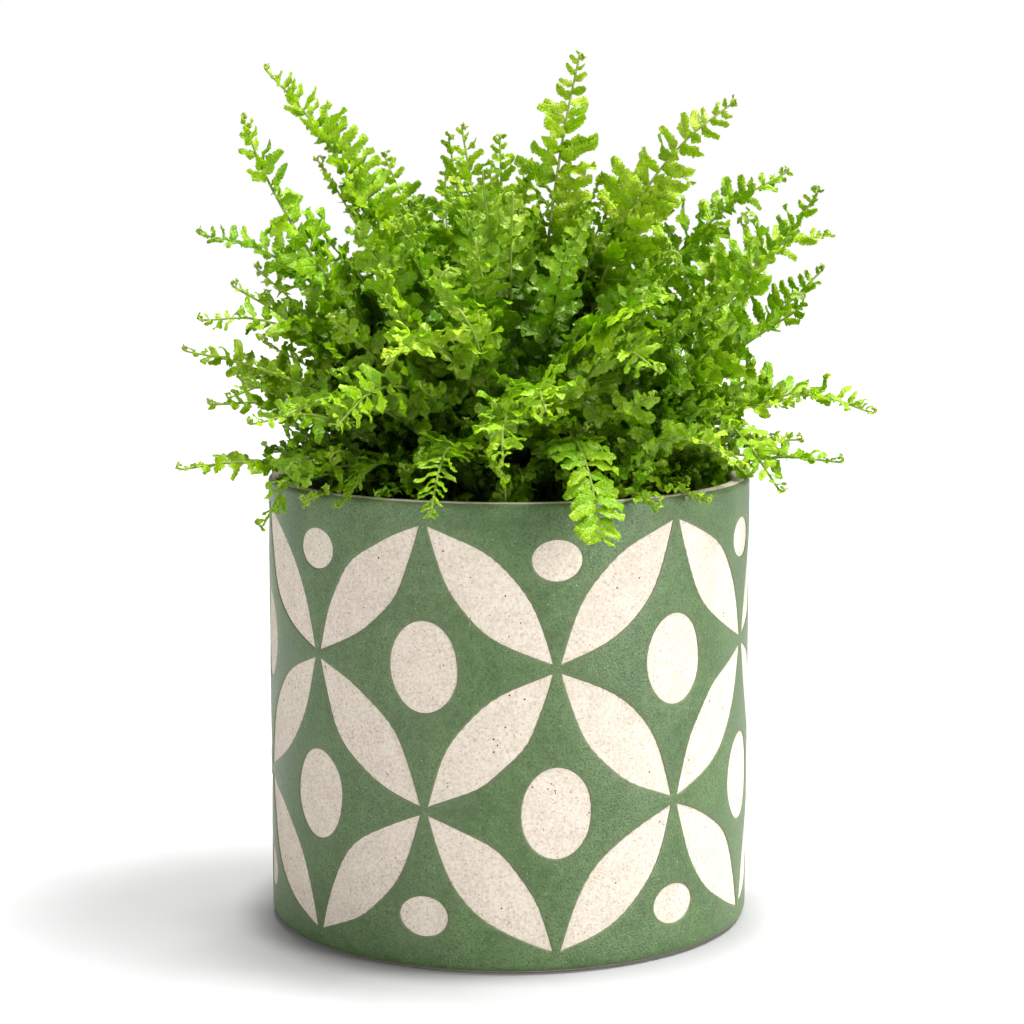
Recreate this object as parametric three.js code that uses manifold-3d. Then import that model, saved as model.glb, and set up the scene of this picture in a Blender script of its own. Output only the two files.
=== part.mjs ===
// A compact crisped Boston fern in its nursery pot, standing in a round glazed stoneware cover pot.
// Millimetres, +Z up. The origin is the middle of the cover pot's flat base, on the table.

import * as THREE from 'three';
import { mergeVertices } from 'three/addons/utils/BufferGeometryUtils.js';
import Module from 'manifold-3d';

// Clear distance kept between pieces that rest on or in each other
const GAP = 0.3;

// How far the middle of a quarter round lies inside its square corner, as a share of the radius
const ROUND = 1 - Math.SQRT1_2;

// The stoneware cover pot
const POT = { radius: 75, height: 138.5, wall: 6, floor: 7, foot: 3.2, lip: 1.4, cove: 4, sides: 52 };

// The plastic pot inside it, a slim cone with a turned-out rim
const NURSERY = {
  footRadius: 53, mouthRadius: 62.5, wall: 1.4, height: 113, rimReach: 2.6, rimDepth: 8, sides: 32,
};

// The peat that fills it, with a plain hole in the middle for the fern's stock
const SOIL = {
  belowRim: 6, holeRadius: 29.4, holeDepth: 6, rings: 4, lumpHeight: 1.6, lumpLength: 20, sides: 26,
};

// The fern's stock: a low dome that stands in that hole, and the shares of its radius where stalks leave it
const CROWN = { radius: 29, rise: 17, skirt: 3, rings: 5, sides: 24, innerStalks: 0.1, outerStalks: 0.86 };

// Shapes that every frond has. Shares are of the frond's, the blade's or the leaflet's own length or width.
// The fold is how far the leaflets' tips stand above the rib, as a share of the blade's half width.
const STALK = { halfWidth: 1.0, thickness: 1.7, share: 0.2, sections: 3, reach: 0.3 };
const BLADE = {
  ribHalfWidth: 0.75, ribThickness: 1.1, thickness: 0.75, leafletPitch: 10.4, tipLength: 4.5,
  baseWidth: 0.55, fullAt: 0.25, taperFrom: 0.55, taperTo: 1.05, tipWidth: 0.2,
};
const LEAFLET = {
  near: 0.08, middle: 0.5, far: 0.88, shoulder: 0.84, sweep: 0.14, tipSweep: 0.22, crisp: 1.1, fold: 0.25,
};

// Fronds that make the outline seen from the front. Each has its tip in millimetres, its bow as a share of
// its length, its half width, the degrees that its face turns to the front, and its fold where it isn't the
// usual one.
const OUTLINE_FRONDS = [
  { tip: [-77, 18, 264], bow: 0.07, half: 14, turn: -22, fold: 0.75 },
  { tip: [-80, -18, 249], bow: 0, half: 16, turn: -60 },
  { tip: [-98, 14, 212], bow: 0.14, half: 14, turn: -25, fold: 0.5 },
  { tip: [-83, -25, 196], bow: 0.18, half: 14, turn: -50 },
  { tip: [-99, 25, 184], bow: 0.18, half: 13, turn: -35 },
  { tip: [-100, 8, 177], bow: 0.22, half: 13, turn: -40 },
  { tip: [-92, -20, 161], bow: 0.16, half: 14, turn: -40 },
  { tip: [-75, -53, 157], bow: 0.14, half: 13, turn: -25 },
  { tip: [-99, -35, 143], bow: 0.12, half: 13, turn: -15 },
  { tip: [-72, -50, 128], bow: 0.38, half: 10, turn: -10 },
  { tip: [-50, -66, 136], bow: 0.33, half: 10, turn: 0 },
  { tip: [-22, -88, 136], bow: 0.33, half: 14, turn: 0 },
  { tip: [26, -88, 130], bow: 0.4, half: 10, turn: 0, fold: 0 },
  { tip: [113, -5, 157], bow: 0.18, half: 14, turn: 20, fold: 0.5 },
  { tip: [101, -22, 144], bow: 0.14, half: 15, turn: 22 },
  { tip: [80, -46, 138], bow: 0.4, half: 10, turn: 10 },
  { tip: [101, 22, 201], bow: -0.01, half: 14, turn: 30, fold: 0.6 },
  { tip: [91, -17, 193], bow: 0, half: 13, turn: 55, fold: 0.5 },
  { tip: [106, 52, 210], bow: 0.13, half: 13, turn: 20, fold: 0.5 },
  { tip: [96, 4, 227], bow: 0.02, half: 14, turn: 30, fold: 0.6 },
  { tip: [72, -45, 219], bow: -0.08, half: 14, turn: 60 },
  { tip: [91, 38, 231], bow: 0.06, half: 15, turn: 45 },
  { tip: [69, -10, 253], bow: 0.1, half: 17, turn: 75 },
  { tip: [58, 55, 225], bow: 0.05, half: 12, turn: 20 },
  { tip: [22, 6, 268], bow: 0.02, half: 14, turn: 80 },
  { tip: [-3, 35, 243], bow: 0.04, half: 13, turn: 0 },
  { tip: [-15, 16, 246], bow: 0.03, half: 12, turn: 0 },
  { tip: [-20, 45, 243], bow: 0.05, half: 13, turn: 0 },
  { tip: [-8, -24, 232], bow: 0.03, half: 14, turn: 0 },
  { tip: [-37, -50, 203], bow: 0.06, half: 15, turn: -30 },
  { tip: [-20, -70, 200], bow: 0.1, half: 14, turn: -20 },
  { tip: [-10, -50, 212], bow: 0.06, half: 15, turn: 0 },
  { tip: [38, -72, 194], bow: 0.14, half: 17, turn: 25 },
];

// The rest stand in tiers round the plant. Bearings run anticlockwise from +X, so the front is at -90.
const TIERS = [
  { fronds: 5, from: -150, to: -34, reach: 97, height: 151, bow: 0.2, half: 14 },
  { fronds: 3, from: -126, to: -46, reach: 93, height: 174, bow: 0.15, half: 14 },
  { fronds: 4, from: 48, to: 142, reach: 62, height: 232, bow: 0.05, half: 14 },
  { fronds: 5, from: 26, to: 156, reach: 92, height: 200, bow: 0.1, half: 15 },
  { fronds: 6, from: 14, to: 172, reach: 100, height: 152, bow: 0.2, half: 14 },
];
const SCATTER = { bearing: 7, reach: 7, height: 9, turn: 30 };
const SEED = 14;

// How far a frond may be bent, and how much slimmer it may grow, to clear the ones already placed
const BEND = {
  tries: 600, easing: 150, clearance: 0.5,
  bearing: 38, tip: 3, looseTip: 13, bow: 0.12, lowestBow: -0.12, turn: 50, slimmer: 0.4,
};

const wasm = await Module();
wasm.setup();

function seededRandom(seed) {
  let state = seed >>> 0;
  return () => {
    state = (state + 0x6d2b79f5) >>> 0;
    let mixed = Math.imul(state ^ (state >>> 15), state | 1);
    mixed ^= mixed + Math.imul(mixed ^ (mixed >>> 7), mixed | 61);
    return ((mixed ^ (mixed >>> 14)) >>> 0) / 4294967296;
  };
}

function radians(degrees) {
  return THREE.MathUtils.degToRad(degrees);
}

// Keeps only positions, merges shared points, drops flat triangles and turns the faces outward
function closedSolid(geometry) {
  const bare = geometry.clone();
  bare.deleteAttribute('normal');
  bare.deleteAttribute('uv');
  const merged = mergeVertices(bare, 1e-4);
  const corners = merged.index.array;
  const kept = [];
  for (let i = 0; i < corners.length; i += 3) {
    const [a, b, c] = [corners[i], corners[i + 1], corners[i + 2]];
    if (a !== b && b !== c && c !== a) {
      kept.push(a, b, c);
    }
  }
  merged.setIndex(kept);
  if (signedVolume(merged) < 0) {
    kept.reverse();
    merged.setIndex(kept);
  }
  merged.computeVertexNormals();
  return merged;
}

function signedVolume(geometry) {
  const position = geometry.attributes.position;
  const index = geometry.index.array;
  const [a, b, c] = [new THREE.Vector3(), new THREE.Vector3(), new THREE.Vector3()];
  let volume = 0;
  for (let i = 0; i < index.length; i += 3) {
    a.fromBufferAttribute(position, index[i]);
    b.fromBufferAttribute(position, index[i + 1]);
    c.fromBufferAttribute(position, index[i + 2]);
    volume += a.dot(b.cross(c)) / 6;
  }
  return volume;
}

// Turns a profile of [radius, height] points round the Z axis
function turned(profile, sides) {
  const points = profile.map(([radius, height]) => new THREE.Vector2(radius, height));
  return closedSolid(new THREE.LatheGeometry(points, sides).rotateX(Math.PI / 2));
}

function stonewarePot() {
  const { radius, height, wall, floor, foot, lip, cove, sides } = POT;
  const inner = radius - wall;
  return turned([
    [0, 0],
    [radius - foot, 0],
    [radius - foot * ROUND, foot * ROUND],
    [radius, foot],
    [radius, height - lip],
    [radius - lip, height],
    [inner + lip, height],
    [inner, height - lip],
    [inner, floor + cove],
    [inner - cove, floor],
    [0, floor],
  ], sides);
}

function nurseryPot() {
  const { footRadius, mouthRadius, wall, height, rimReach, rimDepth, sides } = NURSERY;
  return turned([
    [0, 0],
    [footRadius, 0],
    [mouthRadius, height - rimDepth],
    [mouthRadius + rimReach, height - rimDepth],
    [mouthRadius + rimReach, height],
    [mouthRadius - wall, height],
    [footRadius - wall, wall],
    [0, wall],
  ], sides);
}

const soilDepth = NURSERY.height - SOIL.belowRim - NURSERY.wall - GAP;

// The peat stands in the plastic pot, GAP clear of its wall, and is lumpy between the wall and the hole
function soilBody() {
  const slope = (NURSERY.mouthRadius - NURSERY.footRadius) / (NURSERY.height - NURSERY.wall);
  const footRadius = NURSERY.footRadius - NURSERY.wall - GAP;
  const topRadius = footRadius + slope * soilDepth;
  const profile = [[0, 0], [footRadius, 0], [topRadius, soilDepth]];
  for (let ring = 1; ring <= SOIL.rings; ring += 1) {
    const share = ring / (SOIL.rings + 1);
    profile.push([THREE.MathUtils.lerp(topRadius, SOIL.holeRadius, share), soilDepth]);
  }
  profile.push(
    [SOIL.holeRadius, soilDepth],
    [SOIL.holeRadius, soilDepth - SOIL.holeDepth],
    [0, soilDepth - SOIL.holeDepth],
  );
  const body = turned(profile, SOIL.sides);
  const position = body.attributes.position;
  for (let i = 0; i < position.count; i += 1) {
    const [x, y] = [position.getX(i), position.getY(i)];
    const radius = Math.hypot(x, y);
    const open = radius > SOIL.holeRadius + 1 && radius < topRadius - 1;
    if (open && position.getZ(i) > soilDepth - GAP) {
      const wave = 2 * Math.PI / SOIL.lumpLength;
      position.setZ(i, soilDepth + SOIL.lumpHeight * (Math.sin(x * wave) * Math.cos(y * wave) - 0.5));
    }
  }
  return closedSolid(body);
}

function crownBody() {
  const profile = [[0, 0], [CROWN.radius, 0]];
  for (let ring = 0; ring < CROWN.rings; ring += 1) {
    const angle = (ring / CROWN.rings) * Math.PI / 2;
    const height = CROWN.skirt + (CROWN.rise - CROWN.skirt) * Math.sin(angle);
    profile.push([CROWN.radius * Math.cos(angle), height]);
  }
  profile.push([0, CROWN.rise]);
  return turned(profile, CROWN.sides);
}

// A thin sheet of triangles given one thickness for each point. Both faces are split alike, and a wall closes
// every open edge.
function thickened(sheet, extra) {
  const count = sheet.points.length;
  const positions = [];
  for (const side of [0.5, -0.5]) {
    sheet.points.forEach((point, i) => {
      const shift = sheet.normals[i].clone().multiplyScalar(side * (sheet.thickness[i] + extra));
      positions.push(...point.clone().add(shift).toArray());
    });
  }
  const faces = [];
  const open = new Map();
  for (const [a, b, c] of sheet.triangles) {
    faces.push(a, b, c, c + count, b + count, a + count);
    for (const [from, to] of [[a, b], [b, c], [c, a]]) {
      if (!open.delete(`${to} ${from}`)) {
        open.set(`${from} ${to}`, [from, to]);
      }
    }
  }
  for (const [from, to] of open.values()) {
    faces.push(to, from, from + count, to, from + count, to + count);
  }
  const geometry = new THREE.BufferGeometry();
  geometry.setAttribute('position', new THREE.Float32BufferAttribute(positions, 3));
  geometry.setIndex(faces);
  return geometry;
}

// Where a frond leaves the stock, and which way its stalk first points. Low fronds leave near its edge.
function footOnCrown(tip, bearing, crownMesh) {
  const rise = Math.atan2(tip.z - CROWN.rise, Math.hypot(tip.x, tip.y));
  const lowness = Math.cos(rise) ** 1.3;
  const out = CROWN.radius * THREE.MathUtils.lerp(CROWN.innerStalks, CROWN.outerStalks, lowness);
  const above = new THREE.Vector3(out * Math.cos(bearing), out * Math.sin(bearing), CROWN.rise * 3);
  const hit = new THREE.Raycaster(above, new THREE.Vector3(0, 0, -1)).intersectObject(crownMesh)[0];
  const normal = hit.face.normal.clone();
  return { foot: hit.point.clone().addScaledVector(normal, GAP), normal };
}

// The rib: it leaves the stock square to its surface, ends at the tip, and half way it stands above the
// straight line between them by the bow. In a cubic, 3/8 of a handle's shift reaches the middle.
function ribCurve(foot, normal, tip, bow) {
  const chord = tip.clone().sub(foot);
  const length = chord.length();
  const along = chord.clone().normalize();
  const up = new THREE.Vector3(0, 0, 1).addScaledVector(along, -along.z).normalize();
  const rise = normal.clone().multiplyScalar(STALK.reach * length);
  const first = foot.clone().add(rise);
  const second = tip.clone().sub(rise).addScaledVector(up, (8 / 3) * bow * length);
  return new THREE.CubicBezierCurve3(foot, first, second, tip);
}

// Half the blade's width at a share of the blade's length: soon full, and slender again at the tip
function halfWidthAt(share, half) {
  const filling = THREE.MathUtils.lerp(BLADE.baseWidth, 1, Math.min(1, share / BLADE.fullAt));
  const taper = THREE.MathUtils.smoothstep(share, BLADE.taperFrom, BLADE.taperTo);
  return half * filling * THREE.MathUtils.lerp(1, BLADE.tipWidth, taper);
}

// The frond as a sheet: a bare stalk, then a rib with a lobed leaflet on each side of every stretch of it
function frondSheet({ rib, bearing, turn, half, fold, normal }) {
  const length = rib.getLength();
  const bladeStart = length * STALK.share;
  const bladeLength = length - bladeStart - BLADE.tipLength;
  const pairs = Math.max(4, Math.round(bladeLength / BLADE.leafletPitch));
  const pitch = bladeLength / pairs;
  const across = new THREE.Vector3(-Math.sin(bearing), Math.cos(bearing), 0);
  const sheet = { points: [], normals: [], thickness: [], triangles: [] };

  function add(distance, outward, lift, thickness) {
    const share = THREE.MathUtils.clamp(distance / length, 0, 1);
    const forward = share === 0 ? normal.clone() : rib.getTangentAt(share);
    const level = across.clone().addScaledVector(forward, -across.dot(forward)).normalize();
    const side = level.applyAxisAngle(forward, turn * share);
    const face = forward.clone().cross(side);
    const point = rib.getPointAt(share).addScaledVector(side, outward).addScaledVector(face, lift);
    point.addScaledVector(forward, distance - share * length);
    sheet.points.push(point);
    sheet.normals.push(face);
    sheet.thickness.push(thickness);
    return sheet.points.length - 1;
  }

  function station(distance, halfWidth, thickness) {
    return [add(distance, -halfWidth, 0, thickness), add(distance, halfWidth, 0, thickness)];
  }

  function bridge([leftA, rightA], [leftB, rightB]) {
    sheet.triangles.push([leftA, leftB, rightB], [leftA, rightB, rightA]);
  }

  function leaflet(start, from, to, sign) {
    const width = halfWidthAt((start - bladeStart) / bladeLength, half);
    const lift = fold * width;
    const lean = LEAFLET.sweep * width;
    const shoulder = LEAFLET.shoulder * width * sign;
    const shoulderLift = LEAFLET.shoulder * lift;
    const outermost = start + LEAFLET.middle * pitch + LEAFLET.tipSweep * width;
    const nearest = start + LEAFLET.near * pitch + lean;
    const farthest = start + LEAFLET.far * pitch + lean;
    const near = add(nearest, shoulder, shoulderLift + LEAFLET.crisp, BLADE.thickness);
    const tip = add(outermost, width * sign, lift, BLADE.thickness);
    const far = add(farthest, shoulder, shoulderLift - LEAFLET.crisp, BLADE.thickness);
    const ring = [to, far, tip, near];
    for (let i = 0; i < ring.length - 1; i += 1) {
      sheet.triangles.push(sign > 0 ? [from, ring[i], ring[i + 1]] : [from, ring[i + 1], ring[i]]);
    }
  }

  let last = station(0, STALK.halfWidth, STALK.thickness);
  for (let i = 1; i <= STALK.sections; i += 1) {
    const share = i / STALK.sections;
    const halfWidth = THREE.MathUtils.lerp(STALK.halfWidth, BLADE.ribHalfWidth, share);
    const thickness = THREE.MathUtils.lerp(STALK.thickness, BLADE.ribThickness, share);
    const next = station(bladeStart * share, halfWidth, thickness);
    bridge(last, next);
    last = next;
  }
  for (let i = 0; i < pairs; i += 1) {
    const start = bladeStart + i * pitch;
    const next = station(start + pitch, BLADE.ribHalfWidth, BLADE.ribThickness);
    bridge(last, next);
    leaflet(start, last[0], next[0], -1);
    leaflet(start, last[1], next[1], 1);
    last = next;
  }
  const end = add(length, 0, 0, BLADE.thickness);
  sheet.triangles.push([last[0], end, last[1]]);
  return sheet;
}

function toManifold(geometry) {
  const vertProperties = new Float32Array(geometry.attributes.position.array);
  const triVerts = new Uint32Array(geometry.index.array);
  return new wasm.Manifold(new wasm.Mesh({ numProp: 3, vertProperties, triVerts }));
}

function placedSolid(geometry) {
  geometry.computeBoundingBox();
  return { box: geometry.boundingBox.clone(), solid: toManifold(geometry) };
}

function crosses(candidate, placed) {
  return placed.some(({ box, solid }) => {
    if (!box.intersectsBox(candidate.box)) {
      return false;
    }
    const shared = solid.intersect(candidate.solid);
    const touching = shared.volume() > 0;
    shared.delete();
    return touching;
  });
}

// Bends a frond a little further on each try until it is clear of everything placed before it
function clearFrond(wish, placed, crownMesh, random) {
  const spread = () => 2 * random() - 1;
  for (let attempt = 0; attempt < BEND.tries; attempt += 1) {
    const ease = Math.min(1, attempt / BEND.easing);
    const tipEase = ease * (wish.loose ? BEND.looseTip : BEND.tip);
    const tip = wish.tip.clone().add(new THREE.Vector3(spread(), spread(), spread()).multiplyScalar(tipEase));
    const tipBearing = Math.atan2(tip.y, tip.x);
    const footBearing = tipBearing + radians(BEND.bearing) * spread() * ease;
    const bow = Math.max(BEND.lowestBow, wish.bow + BEND.bow * spread() * ease);
    const { foot, normal } = footOnCrown(tip, footBearing, crownMesh);
    const rib = ribCurve(foot, normal, tip, bow);
    const bearing = Math.atan2(tip.y - foot.y, tip.x - foot.x);
    const turn = wish.turn + radians(BEND.turn) * spread() * ease;
    const half = wish.half * (1 - BEND.slimmer * attempt / BEND.tries);
    const sheet = frondSheet({ rib, bearing, turn, half, fold: wish.fold, normal });
    const fat = thickened(sheet, BEND.clearance);
    const candidate = placedSolid(fat);
    const blocked = crosses(candidate, placed);
    candidate.solid.delete();
    if (!blocked) {
      return { geometry: closedSolid(thickened(sheet, 0)), foot };
    }
  }
  throw new Error(`no clear place for the frond with its tip at ${wish.tip.toArray()}`);
}

// The fronds that are wanted, in the stock's own height
function wishedFronds(stockHeight, random) {
  const wishes = OUTLINE_FRONDS.map(({ tip, bow, half, turn, fold = LEAFLET.fold }) => ({
    tip: new THREE.Vector3(tip[0], tip[1], tip[2] - stockHeight),
    bow,
    half,
    fold,
    turn: radians(turn),
    loose: false,
  }));
  for (const { fronds, from, to, reach, height, bow, half } of TIERS) {
    for (let i = 0; i < fronds; i += 1) {
      const middle = (i + 0.5) / fronds;
      const bearing = radians(THREE.MathUtils.lerp(from, to, middle) + SCATTER.bearing * (2 * random() - 1));
      const out = reach + SCATTER.reach * (2 * random() - 1);
      const up = height + SCATTER.height * (2 * random() - 1) - stockHeight;
      wishes.push({
        tip: new THREE.Vector3(out * Math.cos(bearing), out * Math.sin(bearing), up),
        bow,
        half,
        fold: LEAFLET.fold,
        turn: radians(SCATTER.turn) * (2 * random() - 1),
        loose: true,
      });
    }
  }
  return wishes;
}

function meshOf(name, geometry, color, roughness) {
  const material = new THREE.MeshStandardMaterial({ color, roughness, metalness: 0, flatShading: true });
  const mesh = new THREE.Mesh(geometry, material);
  mesh.name = name;
  return mesh;
}

function build() {
  const random = seededRandom(SEED);
  const pottedFern = new THREE.Group();
  const outerPot = meshOf('outer_pot', stonewarePot(), 0x5f8257, 0.5);
  pottedFern.add(outerPot);

  const inside = new THREE.Group();
  inside.position.z = POT.floor + GAP;
  const innerPot = meshOf('nursery_pot', nurseryPot(), 0x2a2522, 0.6);
  const soil = meshOf('soil', soilBody(), 0x33241a, 0.95);
  soil.position.z = NURSERY.wall + GAP;
  inside.add(innerPot, soil);
  pottedFern.add(inside);

  const fern = new THREE.Group();
  fern.position.z = soil.position.z + soilDepth - SOIL.holeDepth + GAP;
  const crown = meshOf('crown', crownBody(), 0x5b3d22, 0.9);
  fern.add(crown);
  inside.add(fern);
  pottedFern.updateMatrixWorld(true);

  const intoFern = fern.matrixWorld.clone().invert();
  const placed = [outerPot, innerPot, soil].map((mesh) => {
    const transform = intoFern.clone().multiply(mesh.matrixWorld);
    return placedSolid(mesh.geometry.clone().applyMatrix4(transform));
  });
  const crownAtOrigin = new THREE.Mesh(crown.geometry);
  const stockHeight = fern.matrixWorld.elements[14];
  wishedFronds(stockHeight, random).forEach((wish, i) => {
    const { geometry, foot } = clearFrond(wish, placed, crownAtOrigin, random);
    placed.push(placedSolid(geometry));
    const green = new THREE.Color().setHSL(0.25 + 0.03 * random(), 0.62, 0.3 + 0.1 * random());
    const name = `frond_${String(i + 1).padStart(2, '0')}`;
    const frond = meshOf(name, geometry.translate(-foot.x, -foot.y, -foot.z), green, 0.55);
    frond.position.copy(foot);
    fern.add(frond);
  });
  return pottedFern;
}

export default build();
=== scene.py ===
"""A compact crisped fern in its nursery pot, standing in a round stoneware cover pot.

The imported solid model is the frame. Each of its pieces gets a finer one here, in the same place: fronds
with single lobed leaflets and curled tips, a cover pot whose glaze leaves the clay bare in a lattice of
plain shapes, a nursery pot with a rolled rim, loose peat, and a scaly stock. Lengths are in metres, +Z is
up and the front is -Y.
"""

from __future__ import annotations

import logging
import math
from dataclasses import dataclass, field, replace
from enum import Enum

import bpy
import numpy as np
from mathutils.geometry import delaunay_2d_cdt
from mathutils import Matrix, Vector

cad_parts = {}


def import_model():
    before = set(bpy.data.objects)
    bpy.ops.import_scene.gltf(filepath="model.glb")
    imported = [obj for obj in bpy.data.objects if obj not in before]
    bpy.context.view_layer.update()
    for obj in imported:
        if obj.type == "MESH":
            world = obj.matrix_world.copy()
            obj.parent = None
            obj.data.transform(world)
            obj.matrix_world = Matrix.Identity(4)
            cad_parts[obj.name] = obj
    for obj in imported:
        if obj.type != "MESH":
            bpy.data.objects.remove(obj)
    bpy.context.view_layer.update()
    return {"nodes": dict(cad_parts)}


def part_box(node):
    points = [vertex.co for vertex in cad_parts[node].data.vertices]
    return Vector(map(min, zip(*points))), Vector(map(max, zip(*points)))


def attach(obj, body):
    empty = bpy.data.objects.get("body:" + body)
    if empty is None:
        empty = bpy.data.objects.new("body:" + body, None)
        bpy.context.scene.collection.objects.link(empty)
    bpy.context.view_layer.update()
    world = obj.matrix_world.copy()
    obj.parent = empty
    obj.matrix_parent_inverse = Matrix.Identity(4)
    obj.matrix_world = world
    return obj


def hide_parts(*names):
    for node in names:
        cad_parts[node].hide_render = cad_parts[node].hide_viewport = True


LOG = logging.getLogger("potted_fern")
Array = np.ndarray
Colour = tuple[float, float, float]
Draws = np.random.Generator
Material = bpy.types.Material
Socket = bpy.types.NodeSocket
MM = 0.001
TURN = 2 * math.pi
HUB_RADIUS = 0.4 * MM
PEAT_GAP = 0.3 * MM


class Slot(Enum):
    """The material slots."""

    GLAZE = "glaze"
    CLAY = "bare_clay"
    PLASTIC = "nursery_plastic"
    PEAT = "peat"
    STOCK = "stock_scales"
    LEAF = "leaf"


def unit(vectors: Array) -> Array:
    """Returns the vectors, each scaled to length one."""
    return vectors / np.maximum(np.linalg.norm(vectors, axis=-1, keepdims=True), 1e-12)


def eased(values: Array, low: float, high: float) -> Array:
    """Returns 0 below low, 1 above high, and a smooth rise between them."""
    share = np.clip((np.asarray(values, float) - low) / (high - low), 0, 1)
    return share * share * (3 - 2 * share)


def turned(vectors: Array, axes: Array, angles: Array) -> Array:
    """Turns vectors about unit axes.

    Args:
        vectors: the vectors, one a row.
        axes: the unit axis of each.
        angles: the angle of each, in radians.

    Returns:
        The turned vectors.
    """
    cosine, sine = np.cos(angles)[..., None], np.sin(angles)[..., None]
    along = (vectors * axes).sum(-1, keepdims=True)
    return vectors * cosine + np.cross(axes, vectors) * sine + axes * along * (1 - cosine)


def waves(points: Array, length: float, rng: Draws, count: int = 7) -> Array:
    """Makes a smooth uneven height from a few crossing waves.

    Args:
        points: where it is read, one point a row.
        length: the usual wave length.
        rng: the seeded draws.
        count: how many waves cross.

    Returns:
        A height of about -1 to 1 at each point.
    """
    ways = unit(rng.normal(size=(count, points.shape[-1])))
    pace = TURN / (length * rng.uniform(0.7, 1.5, count))
    return np.sin(points @ (ways.T * pace) + rng.uniform(0, TURN, count)).sum(-1) / math.sqrt(count * 2)


def distances_along(points: Array) -> Array:
    """Returns how far along a line of points each of them is."""
    return np.concatenate([[0.0], np.cumsum(np.linalg.norm(np.diff(points, axis=0), axis=1))])


class SmoothCurve:
    """A natural cubic spline through points, read by the distance along it."""

    def __init__(self, points: Array) -> None:
        """Fits the spline.

        Args:
            points: what it passes through, one a row.
        """
        steps, count = np.linalg.norm(np.diff(points, axis=0), axis=1), len(points)
        rule, load = np.eye(count), np.zeros_like(points)
        for i in range(1, count - 1):
            rule[i, i - 1 : i + 2] = steps[i - 1], 2 * (steps[i - 1] + steps[i]), steps[i]
            rise = (points[i + 1] - points[i]) / steps[i]
            load[i] = 6 * (rise - (points[i] - points[i - 1]) / steps[i - 1])
        self.points, self.steps, self.bend = points, steps, np.linalg.solve(rule, load)
        self.at = distances_along(points)

    def __call__(self, at: Array) -> Array:
        """Returns the points at these distances along the curve."""
        i = np.clip(np.searchsorted(self.at, at) - 1, 0, len(self.steps) - 1)
        step = self.steps[i][:, None]
        after = (np.asarray(at) - self.at[i])[:, None]
        before = step - after
        bent = self.bend[i] * before**3 + self.bend[i + 1] * after**3
        start = self.points[i] / step - self.bend[i] * step / 6
        end = self.points[i + 1] / step - self.bend[i + 1] * step / 6
        return bent / (6 * step) + start * before + end * after


class PieceMesh:
    """Collects the points, faces and point marks of one piece, then makes its object."""

    def __init__(self, *marks: str) -> None:
        """Starts an empty piece.

        Args:
            marks: the names of the vectors that are kept at every point, for its material.
        """
        self.points: list[Array] = []
        self.faces: dict[int, list[Array]] = {3: [], 4: []}
        self.marks: dict[str, list[Array]] = {name: [] for name in marks}
        self.edges: list[Array] = []
        self.count = 0

    def add(self, points: Array, *faces: Array, edge: Array | None = None, **marks: Array) -> None:
        """Adds a batch of points and faces.

        Args:
            points: the new points, one a row.
            faces: arrays of three- or four-sided faces, as rows of numbers of these points.
            edge: true at the points of a thin blade's edge, where its two sides meet sharply.
            marks: the vector of each mark at the points, or one for them all.
        """
        for rows in faces:
            self.faces[rows.shape[1]].append(rows + self.count)
        self.points.append(points)
        self.edges.append(np.zeros(len(points), bool) if edge is None else edge)
        for name, kept in self.marks.items():
            kept.append(np.broadcast_to(marks.get(name, (0.0, 0.0, 0.0)), (len(points), 3)))
        self.count += len(points)

    def build(self, name: str, material: Material, smooth: bool = True) -> bpy.types.Object:
        """Makes the object.

        Args:
            name: the piece's name.
            material: its finish.
            smooth: whether its faces are shaded smoothly.

        Returns:
            The new object, in the scene.
        """
        mesh = bpy.data.meshes.new(name)
        rows = [array for size in (3, 4) for array in self.faces[size]]
        sizes = np.concatenate([np.full(len(array), array.shape[1]) for array in rows])
        corners = np.concatenate([array.ravel() for array in rows])
        points = np.concatenate(self.points)
        mesh.vertices.add(len(points))
        mesh.vertices.foreach_set("co", points.astype(np.float32).ravel())
        mesh.loops.add(len(corners))
        mesh.loops.foreach_set("vertex_index", corners.astype(np.int32))
        mesh.polygons.add(len(sizes))
        mesh.polygons.foreach_set("loop_start", (np.cumsum(sizes) - sizes).astype(np.int32))
        mesh.update(calc_edges=True)
        mesh.polygons.foreach_set("use_smooth", np.full(len(sizes), smooth))
        edge_points = np.concatenate(self.edges)
        if edge_points.any():
            ends = np.zeros(len(mesh.edges) * 2, np.int32)
            mesh.edges.foreach_get("vertices", ends)
            sharp = edge_points[ends.reshape(-1, 2)].all(axis=1)
            mesh.attributes.new("sharp_edge", "BOOLEAN", "EDGE").data.foreach_set("value", sharp)
        for mark, kept in self.marks.items():
            values = np.concatenate(kept).astype(np.float32)
            mesh.attributes.new(mark, "FLOAT_VECTOR", "POINT").data.foreach_set("vector", values.ravel())
        mesh.materials.append(material)
        made = bpy.data.objects.new(name, mesh)
        bpy.context.scene.collection.objects.link(made)
        return made


def lathe(profile: Array, sides: int) -> tuple[Array, Array]:
    """Turns a closed profile about the Z axis.

    Args:
        profile: rows of radius and height, going round the section with the solid on the left. A closed
            floor ends a hub's radius from the axis.
        sides: how many sides the round has.

    Returns:
        The points, and the four-sided faces between them.
    """
    angles = np.arange(sides) * TURN / sides
    radii, heights = profile[:, :1], profile[:, 1:]
    points = np.stack([radii * np.cos(angles), radii * np.sin(angles), heights + 0 * angles], axis=-1)
    ring, side = np.meshgrid(np.arange(len(profile)), np.arange(sides), indexing="ij")
    after, beside = (ring + 1) % len(profile), (side + 1) % sides
    corners = [ring * sides + side, ring * sides + beside, after * sides + beside, after * sides + side]
    return points.reshape(-1, 3), np.stack(corners, axis=-1).reshape(-1, 4)


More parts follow.
